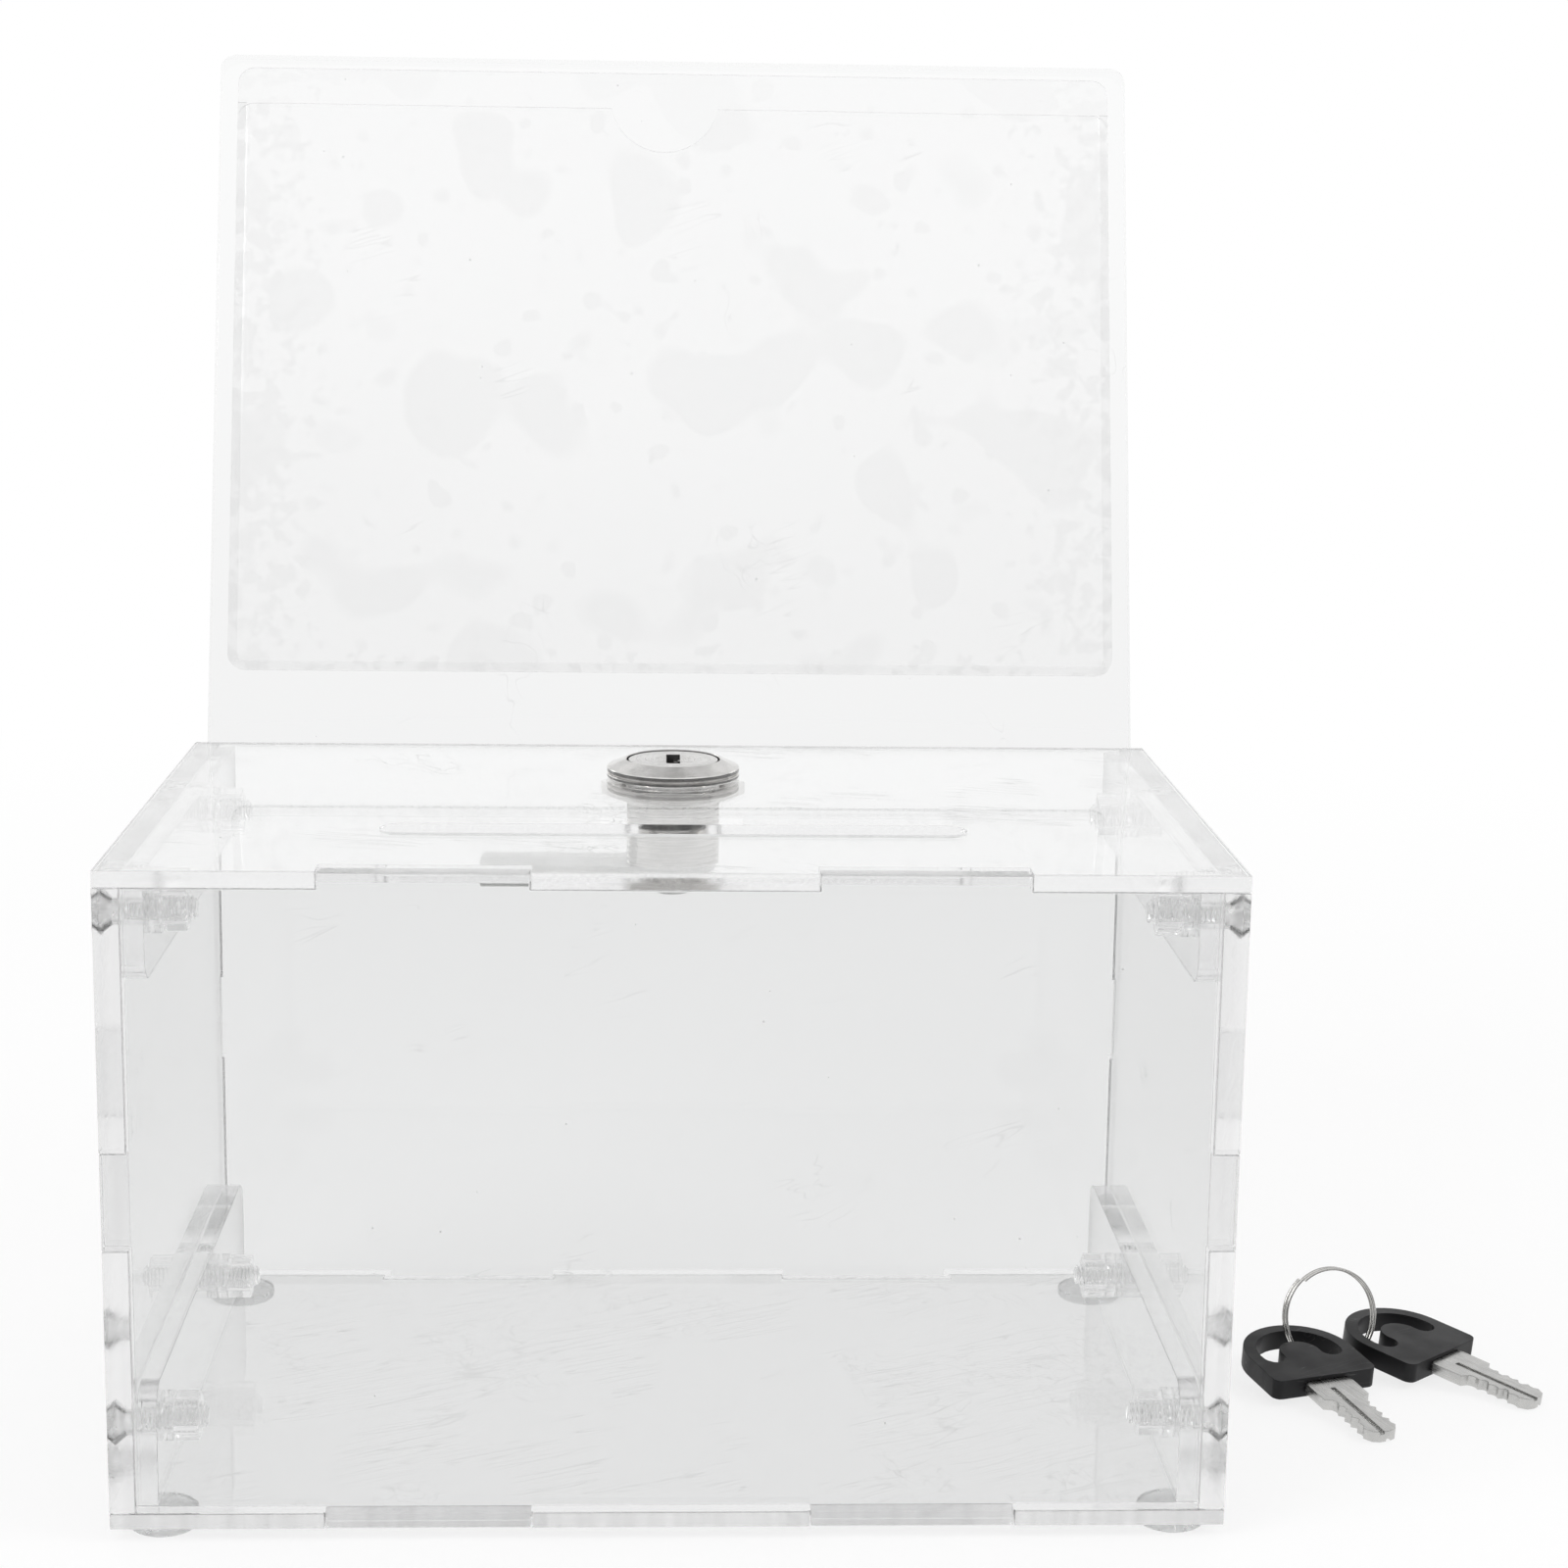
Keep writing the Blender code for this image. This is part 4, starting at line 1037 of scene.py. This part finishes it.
class RAFFLE_OT_lock(bpy.types.Operator):
    """The cam lock: turned head, threaded body with two flats, nut, plug, wafers and cam"""

    bl_idname = "raffle.lock"
    bl_label = "Lock"

    def execute(self, context):
        settings = context.scene.raffle_lock
        axis = lock_axis()
        nickel = nickel_material("bright_nickel", axis)
        soft_nickel = nickel_material("plug_nickel", axis, 0.0004, 0.2)
        zinc = zinc_material()
        # Painted shade for the gap round the plug and down the keyway.
        recess_shade = painted_shade_recess_material()
        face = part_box("lock_housing")[1].z
        body = self.head_and_body(settings)
        put(body, Matrix.Translation(axis))

        def in_gap(side):
            reach = (side.center - axis).to_2d().length
            return side.center.z < face - 0.1 * MM and reach < settings.face_radius - 0.01 * MM

        def on_rim(side):
            reach = (side.center - axis).to_2d().length
            return reach > settings.head_radius - 0.06 * MM and abs(side.normal.z) < 0.35

        # Painted shade: the rim's upright band is the same nickel darkened to about a third.
        painted_shade_nickel = nickel_material("rim_nickel_painted_shade", axis, roughness=0.16, tone=0.34)
        finishes = (nickel, (painted_shade_nickel, on_rim), (recess_shade, in_gap))
        stand_for(body, ["lock_housing"], "bright_nickel", *finishes)
        plug = self.plug(settings)
        put(plug, Matrix.Translation(axis))

        def in_recess(side):
            offset = side.center - axis
            inside = all(abs(offset[i]) < KEYWAY_HALF[i] + 0.02 * MM for i in (0, 1))
            flank = offset.to_2d().length > settings.face_radius - 0.45 * MM
            return side.center.z < face - 0.62 * MM and (inside and side.normal.z < 0.5 or flank)

        # The plug's keyway walls and flank take the painted shade.
        stand_for(plug, ["lock_plug"], "bright_nickel", soft_nickel, (recess_shade, in_recess))
        for node, name, width, material, slot in (
            ("lock_nut", "hex_nut", 0.45 * MM, nickel, "bright_nickel"),
            ("lock_cam", "cam_arm", 0.2 * MM, zinc, "zinc_plate"),
            ("cam_screw", "cam_screw_pan", 0.12 * MM, zinc, "zinc_plate"),
        ):
            stand_for(softened_copy(node, name, width, 50), [node], slot, material)
        return {"FINISHED"}

    def head_and_body(self, settings):
        lid_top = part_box("lid")[1].z
        low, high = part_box("lock_housing")
        face, head, bottom = high.z, settings.head_radius, low.z
        rim_low = lid_top + 0.2 * MM
        rim_top = face - 1.4 * MM
        groove = (rim_top + rim_low) / 2
        inner = settings.face_radius
        bore = 6.55 * MM
        seat = face - 1.75 * MM
        neck = settings.half_flat - 0.1 * MM
        neck_end = lid_top - 0.6 * MM
        profile = [
            (bore, seat),
            (inner - 0.1 * MM, seat),
            (inner - 0.05 * MM, face - 0.12 * MM),
            (inner + 0.1 * MM, face),
            (inner + 0.25 * MM, face - 0.03 * MM),
            (head - 0.3 * MM, rim_top + 0.12 * MM),
            (head - 0.08 * MM, rim_top + 0.05 * MM),
            (head, rim_top - 0.08 * MM),
            (head, groove + 0.28 * MM),
            (head - 0.12 * MM, groove + 0.18 * MM),
            (head - 0.5 * MM, groove + 0.12 * MM),
            (head - 0.5 * MM, groove - 0.12 * MM),
            (head - 0.12 * MM, groove - 0.18 * MM),
            (head, groove - 0.28 * MM),
            (head, rim_low + 0.22 * MM),
            (head - 0.1 * MM, rim_low + 0.06 * MM),
            (head - 0.3 * MM, rim_low),
            (neck, rim_low),
            (neck, neck_end),
            (bore, neck_end),
            (bore, seat),
        ]
        top = turned("lock_barrel", profile, 96)
        thread = threaded(
            "lock_thread", settings.body_radius, 0.42 * MM, 1.0 * MM, bottom, neck_end + 0.02 * MM, 64
        )
        reach = 2 * settings.body_radius
        for side in (-1, 1):
            near = (side * settings.half_flat, -reach, bottom - 1 * MM)
            cut(thread, cutter_box(near, (side * reach, reach, lid_top)))
        bpy.ops.object.select_all(action="DESELECT")
        bpy.ops.mesh.primitive_cylinder_add(
            vertices=64, radius=bore, depth=3 * (neck_end - bottom), location=(0, 0, bottom)
        )
        cut(thread, bpy.context.object)
        shade_round(top, 28)
        shade_round(thread, 28)
        return join([top, thread])

    def plug(self, settings):
        low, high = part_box("lock_plug")
        face = high.z
        radius = settings.face_radius - 0.36 * MM
        barrel = 6.3 * MM
        seat = face - 1.4 * MM
        dish, dish_depth, dish_steps = 3.3 * MM, 0.5 * MM, 6
        dish_line = [
            (dish * i / dish_steps, face - dish_depth * (1 - (i / dish_steps) ** 2))
            for i in range(dish_steps)
        ]
        shaft, tang_top = 4.2 * MM, low.z + 1.5 * MM
        profile = dish_line + [
            (dish, face - 0.02 * MM),
            (dish + 0.15 * MM, face),
            (radius - 0.2 * MM, face),
            (radius - 0.05 * MM, face - 0.06 * MM),
            (radius, face - 0.2 * MM),
            (radius, seat),
            (barrel, seat),
            (barrel, tang_top),
            (shaft, tang_top),
            (shaft, low.z),
            (0, low.z),
        ]
        plug = turned("lock_core_plug", profile, 96)
        half_tang, reach = 3.2 * MM, 9 * MM
        for turn in range(4):
            flat = cutter_box((half_tang, -reach, low.z - 1 * MM), (reach, reach, tang_top - 0.01 * MM))
            flat.matrix_world = Matrix.Rotation(turn * math.pi / 2, 4, "Z") @ flat.matrix_world
            cut(plug, flat)
        half_width, half_height = KEYWAY_HALF
        keyway_depth = 14.8 * MM
        bottom_corner = (-half_width, -half_height, face - keyway_depth)
        cut(plug, cutter_box(bottom_corner, (half_width, half_height, face + 1 * MM)))
        shade_round(plug, 28)
        return join([plug, *self.keyway_blocks(face)])

    def keyway_blocks(self, face):
        """The ends of the wafers, the ledge and the two wards that show down the keyway. Each is a
        block between two corners, in millimetres below the plug's face, and softened."""
        blocks = []
        for index in range(4):
            side = 1 if index % 2 else -1
            top = 1.6 + 2.1 * index
            blocks.append(((-1.25, side * 4.4, top + 0.6), (1.25, side * (2.2 - 0.2 * index), top), 0.1))
        blocks.append(((0.1, 1.2, 3), (1.3, 4.4, 0.8), 0.08))
        for side, width in ((-1, 0.55), (1, 0.4)):
            middle = side * 1.5
            low = (side * 1.3, middle - 0.5, 14)
            blocks.append((low, (side * (1.2 - width), middle + 0.5, 0.55), 0.08))
        pieces = []
        for *corners, rounding in blocks:
            piece = cutter_box(*[(x * MM, y * MM, face - down * MM) for x, y, down in corners])
            put(piece, piece.matrix_world.copy())
            soften_edges(piece, rounding * MM)
            pieces.append(piece)
        return pieces


def is_film_rim(off_film, face):
    """Whether a face is on the cut rim of a film, which faces along the header and not off it."""
    return abs(face.normal.dot(off_film)) < 0.3


class RAFFLE_OT_pocket(bpy.types.Operator):
    """The sign pocket: a back film, a wavy front film with a thumb notch, and the weld round them"""

    bl_idname = "raffle.pocket"
    bl_label = "Sign pocket"

    def execute(self, context):
        settings = context.scene.raffle_pocket
        header = header_frame()
        cut_film = cut_film_material()
        on_rim = functools.partial(is_film_rim, header.to_3x3().col[2])
        back = merged_copy("pocket_back_film", "pocket_back_clear_film")
        shade_round(back)
        back_film = clear_film_material("back_film", 0.36)
        stand_for(back, ["pocket_back_film"], "clear_film", back_film, (cut_film, on_rim))
        front = merged_copy("pocket_front_film", "pocket_front_clear_film")
        put(front, header.inverted())
        corners = [vertex.co for vertex in front.data.vertices]
        low = Vector([min(corner[axis] for corner in corners) for axis in range(3)])
        high = Vector([max(corner[axis] for corner in corners) for axis in range(3)])
        self.slice_evenly(front, low, high)
        for vertex in front.data.vertices:
            vertex.co.z += self.wave(vertex.co, low, high, settings)
        shade_round(front, 50)
        put(front, header)
        front_film = clear_film_material("front_film", 0.4, 0.99)
        stand_for(front, ["pocket_front_film"], "clear_film", front_film, (cut_film, on_rim))
        weld = self.weld(low, high, settings)
        put(weld, header)
        finish_faces(weld, clear_film_material("weld_film", 0.1, 0.965, 0.08))
        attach(weld, BODY_OF["pocket_front_film"])
        return {"FINISHED"}

    def slice_evenly(self, piece, low, high, step=2.2 * MM):
        """Cuts the flat film into a fine even net, so that it can follow its waves."""
        for axis in (0, 1):
            run = high[axis] - low[axis]
            count = int(run / step)
            middle, normal = [0, 0, 0], [0, 0, 0]
            normal[axis] = 1
            for index in range(1, count):
                middle[axis] = low[axis] + run * index / count
                with shaping(piece):
                    bpy.ops.mesh.bisect(plane_co=middle, plane_no=normal, threshold=1e-7)

    def wave(self, point, low, high, settings):
        """How far the film stands proud at a point: nothing at the weld, slow waves inside."""
        edges = (point.x - low.x, high.x - point.x, point.y - low.y)
        free = max(0.0, min(edges) - settings.weld)
        rise = min(1.0, free / (14 * MM))
        slow = noise.noise(Vector((point.x * 22, point.y * 13, 3.1)))
        quick = noise.noise(Vector((point.x * 75, point.y * 34, 7.7)))
        return settings.bulge * rise * max(0.0, 0.45 + 0.9 * slow + 0.22 * quick)

    def weld(self, low, high, settings):
        """A pressed band along the pocket's left, bottom and right, its edges raised."""
        width, corner = settings.weld, 3 * MM
        left = (low.x + corner, low.y + corner)
        right = (high.x - corner, low.y + corner)
        inset = corner - width
        outer = [(low.x, high.y), *arc(left, corner, 180, 270, 8)]
        outer += [*arc(right, corner, 270, 360, 8), (high.x, high.y)]
        inner = [(high.x - width, high.y), *arc(right, inset, 360, 270, 8)]
        inner += [*arc(left, inset, 270, 180, 8), (low.x + width, high.y)]
        band = flat_piece("pocket_weld", outer + inner, 0.3 * MM, 0.12 * MM)
        for vertex in band.data.vertices:
            vertex.co.z += high.z + 0.2 * MM
        shade_round(band, 40)
        return band


class RAFFLE_OT_keys(bpy.types.Operator):
    """Two keys with black heads on their split ring"""

    bl_idname = "raffle.keys"
    bl_label = "Keys and ring"

    def execute(self, context):
        plastic = black_plastic_material()
        for number in (1, 2):
            head = merged_copy(f"key_{number}_head", f"key_{number}_moulded_head")
            shade_round(head, 40)
            stand_for(head, [f"key_{number}_head"], "black_plastic", plastic)
            blade = softened_copy(f"key_{number}_blade", f"key_{number}_cut_blade", 0.12 * MM, 30)
            low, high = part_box(f"key_{number}_blade")
            run = high - low
            along = (run.x, -run.y, -0.1 * run.y)
            stand_for(blade, [f"key_{number}_blade"], "bright_nickel", blade_material(along))
        settings = context.scene.raffle_ring
        ring = self.coil(settings)
        put(ring, ring_place(settings))
        shade_round(ring, 60)
        stand_for(ring, ["key_ring"], "ring_steel", ring_material())
        return {"FINISHED"}

    def coil(self, settings, steps=96, sides=12):
        """The wire's turns round the vertical: a disc spun round, and then drawn out along the axis."""
        bpy.ops.object.select_all(action="DESELECT")
        start = Matrix.Rotation(settings.end, 4, "Z") @ Matrix.Translation((settings.radius, 0, 0))
        bpy.ops.mesh.primitive_circle_add(vertices=sides, radius=settings.wire / 2, fill_type="NGON")
        ring = bpy.context.object
        ring.name = ring.data.name = "split_ring_wire"
        put(ring, start @ Matrix.Rotation(math.radians(90), 4, "X"))
        with shaping(ring):
            bpy.ops.mesh.spin(
                steps=steps * settings.turns,
                angle=-2 * math.pi * settings.turns,
                use_auto_merge=False,
                center=(0, 0, 0),
                axis=(0, 0, 1),
            )
        for point in ring.data.vertices:
            turn = (point.index // sides) / steps
            point.co.z += settings.pitch * (turn - settings.turns / 2)
        with shaping(ring):
            bpy.ops.mesh.normals_make_consistent(inside=False)
        return ring


def share_shown(tree, path, behind_sheets=0.3):
    """How much of the studio's dark parts a mirror shows. Behind clear sheets it is only a share."""
    through = math_node(tree, "GREATER_THAN", path.outputs["Transmission Depth"], 0.5)
    return math_node(tree, "MULTIPLY_ADD", through, behind_sheets - 1.0, 1.0)


class RAFFLE_OT_stage(bpy.types.Operator):
    """A plain pale floor, soft lamps, the surroundings and the camera"""

    bl_idname = "raffle.stage"
    bl_label = "Stage"

    def execute(self, context):
        settings = context.scene.raffle_stage
        self.floor()
        self.surroundings(context.scene)
        self.lamps(settings)
        self.camera(context.scene, settings)
        context.scene.view_settings.view_transform = "Standard"
        # Light goes through many faces and runs along inside the sheets before it leaves them.
        context.scene.cycles.max_bounces = 40
        context.scene.cycles.transmission_bounces = 24
        context.scene.cycles.glossy_bounces = 32
        return {"FINISHED"}

    def floor(self):
        bpy.ops.object.select_all(action="DESELECT")
        bpy.ops.mesh.primitive_plane_add(size=6, location=(0, 0, CAD_BOX[0].z - 0.02 * MM))
        floor = bpy.context.object
        floor.name = "stage_floor"
        bpy.ops.object.transform_apply(location=True, rotation=True, scale=True)
        material, tree, shader, place = new_material(
            "pale_floor", Base_Color=grey(0.88), Roughness=0.9
        )
        path = tree.nodes.new("ShaderNodeLightPath")
        depth = add_node(tree, "ShaderNodeSeparateXYZ", {0: place}).outputs["Y"]
        front = CAD_BOX[0].y
        ahead = between(tree, depth, front - 0.3, front - 0.04, 0.16, 1.0)
        glossy = math_node(tree, "GREATER_THAN", path.outputs["Glossy Depth"], 0.5)
        mirrored = math_node(tree, "MULTIPLY", glossy, share_shown(tree, path))
        less = math_node(tree, "MULTIPLY", mirrored, math_node(tree, "SUBTRACT", 1.0, ahead))
        strength = math_node(tree, "SUBTRACT", 1.0, less)
        white = add_node(tree, "ShaderNodeEmission", {"Strength": strength})
        far = between(tree, vector_math(tree, "DISTANCE", place, base()), 0.25, 0.7, 0.8, 1.0)
        share = math_node(tree, "MAXIMUM", glossy, far)
        seen = math_node(tree, "SUBTRACT", 1.0, path.outputs["Is Diffuse Ray"])
        parts = {0: math_node(tree, "MULTIPLY", seen, share)}
        parts.update({1: shader.outputs[0], 2: white.outputs[0]})
        mixed = add_node(tree, "ShaderNodeMixShader", parts)
        tree.links.new(mixed.outputs[0], tree.nodes["Material Output"].inputs["Surface"])
        floor.data.materials.append(material)

    def surroundings(self, scene):
        """White where it is seen, also through clear sheets. As a mirror sees it, it is a bright
        studio with a dark low front, where the camera stands, and duller low sides."""
        world = bpy.data.worlds.new("soft_studio")
        world.use_nodes = True
        scene.world = world
        tree = world.node_tree
        way = add_node(tree, "ShaderNodeTexCoord").outputs["Generated"]
        across, depth, height = add_node(tree, "ShaderNodeSeparateXYZ", {0: way}).outputs
        front = between(tree, depth, -0.5, -0.1, 1.0, 0.0)
        low = between(tree, height, 0.36, 0.54, 1.0, 0.0)
        side = between(tree, math_node(tree, "ABSOLUTE", across), 0.35, 0.75)
        dark_front = math_node(tree, "MULTIPLY", math_node(tree, "MULTIPLY", front, low), 0.86)
        dull_side = math_node(tree, "MULTIPLY", math_node(tree, "MULTIPLY", side, low), 0.55)
        dull_top = between(tree, height, 0.55, 0.8, 0.0, 0.5)
        soft_box = math_node(tree, "MULTIPLY", front, between(tree, height, 0.42, 0.62, 0.0, 0.7))
        taken = math_node(tree, "MAXIMUM", math_node(tree, "MAXIMUM", dark_front, dull_side), dull_top)
        path = tree.nodes.new("ShaderNodeLightPath")
        mirrored = math_node(tree, "GREATER_THAN", path.outputs["Glossy Depth"], 0.5)
        mirrored = math_node(tree, "MULTIPLY", mirrored, share_shown(tree, path))
        lit = math_node(tree, "MULTIPLY_ADD", path.outputs["Is Diffuse Ray"], -0.2, 1.0)
        lit = math_node(tree, "ADD", lit, math_node(tree, "MULTIPLY", mirrored, soft_box))
        strength = math_node(tree, "SUBTRACT", lit, math_node(tree, "MULTIPLY", taken, mirrored))
        background = tree.nodes["Background"]
        background.inputs["Color"].default_value = (1, 1, 1, 1)
        tree.links.new(strength, background.inputs["Strength"])

    def lamps(self, settings):
        middle = (CAD_BOX[0] + CAD_BOX[1]) / 2
        for name, place, size, share in (
            ("left_lamp", (-0.75, -0.55, 0.9), 0.7, 1.0),
            ("right_lamp", (0.85, -0.25, 0.8), 0.6, 0.7),
        ):
            bpy.ops.object.light_add(type="AREA", location=place)
            lamp = bpy.context.object
            lamp.name = name
            lamp.data.shape = "DISK"
            lamp.data.size = size
            lamp.data.energy = settings.lamp_power * share
            lamp.visible_glossy = False
            aim = middle - Vector(place)
            lamp.rotation_euler = aim.to_track_quat("-Z", "Y").to_euler()

    def camera(self, scene, settings):
        bpy.ops.object.camera_add(location=base() + Vector(settings.place))
        camera = bpy.context.object
        camera.name = "photo_camera"
        sin_pitch, cos_pitch = math.sin(settings.pitch), math.cos(settings.pitch)
        sin_yaw, cos_yaw = math.sin(settings.yaw), math.cos(settings.yaw)
        forward = Vector((sin_yaw * cos_pitch, cos_yaw * cos_pitch, -sin_pitch))
        level = Vector((cos_yaw, -sin_yaw, 0))
        upright = level.cross(forward)
        right = math.cos(settings.roll) * level + math.sin(settings.roll) * upright
        up = math.cos(settings.roll) * upright - math.sin(settings.roll) * level
        turn = Matrix((right, up, -forward)).transposed()
        camera.rotation_euler = turn.to_euler()
        camera.data.sensor_width = 36
        camera.data.lens = settings.lens
        camera.data.clip_start = 0.01
        scene.camera = camera


class RAFFLE_PT_panel(bpy.types.Panel):
    """Settings and steps of the raffle box"""

    bl_idname = "RAFFLE_PT_panel"
    bl_label = "Raffle Box"
    bl_space_type = "VIEW_3D"
    bl_region_type = "UI"
    bl_category = "Raffle Box"

    def draw(self, context):
        layout = self.layout
        for group, operators in STEPS:
            box = layout.box()
            if group:
                settings = getattr(context.scene, group)
                for name in settings.bl_rna.properties.keys():
                    if name not in ("rna_type", "name"):
                        box.prop(settings, name)
            for operator in operators:
                box.operator(operator.bl_idname)


SETTINGS = {
    "raffle_sheets": RAFFLE_PG_sheets,
    "raffle_screws": RAFFLE_PG_screws,
    "raffle_lock": RAFFLE_PG_lock,
    "raffle_pocket": RAFFLE_PG_pocket,
    "raffle_ring": RAFFLE_PG_ring,
    "raffle_stage": RAFFLE_PG_stage,
}
STEPS = (
    ("raffle_sheets", (RAFFLE_OT_sheets,)),
    ("raffle_screws", (RAFFLE_OT_screws,)),
    (None, (RAFFLE_OT_feet,)),
    ("raffle_lock", (RAFFLE_OT_lock,)),
    ("raffle_pocket", (RAFFLE_OT_pocket,)),
    ("raffle_ring", (RAFFLE_OT_keys,)),
    ("raffle_stage", (RAFFLE_OT_stage,)),
)
OPERATORS = [operator for _, operators in STEPS for operator in operators]


def register():
    for kind in (*SETTINGS.values(), *OPERATORS, RAFFLE_PT_panel):
        bpy.utils.register_class(kind)
    for name, kind in SETTINGS.items():
        setattr(bpy.types.Scene, name, PointerProperty(type=kind))


def unregister():
    for name in SETTINGS:
        delattr(bpy.types.Scene, name)
    for kind in reversed((*SETTINGS.values(), *OPERATORS, RAFFLE_PT_panel)):
        bpy.utils.unregister_class(kind)


def main():
    register()
    bpy.ops.raffle.sheets()
    bpy.ops.raffle.screws()
    bpy.ops.raffle.feet()
    bpy.ops.raffle.lock()
    bpy.ops.raffle.pocket()
    bpy.ops.raffle.keys()
    bpy.ops.raffle.stage()


if __name__ == "__main__":
    main()
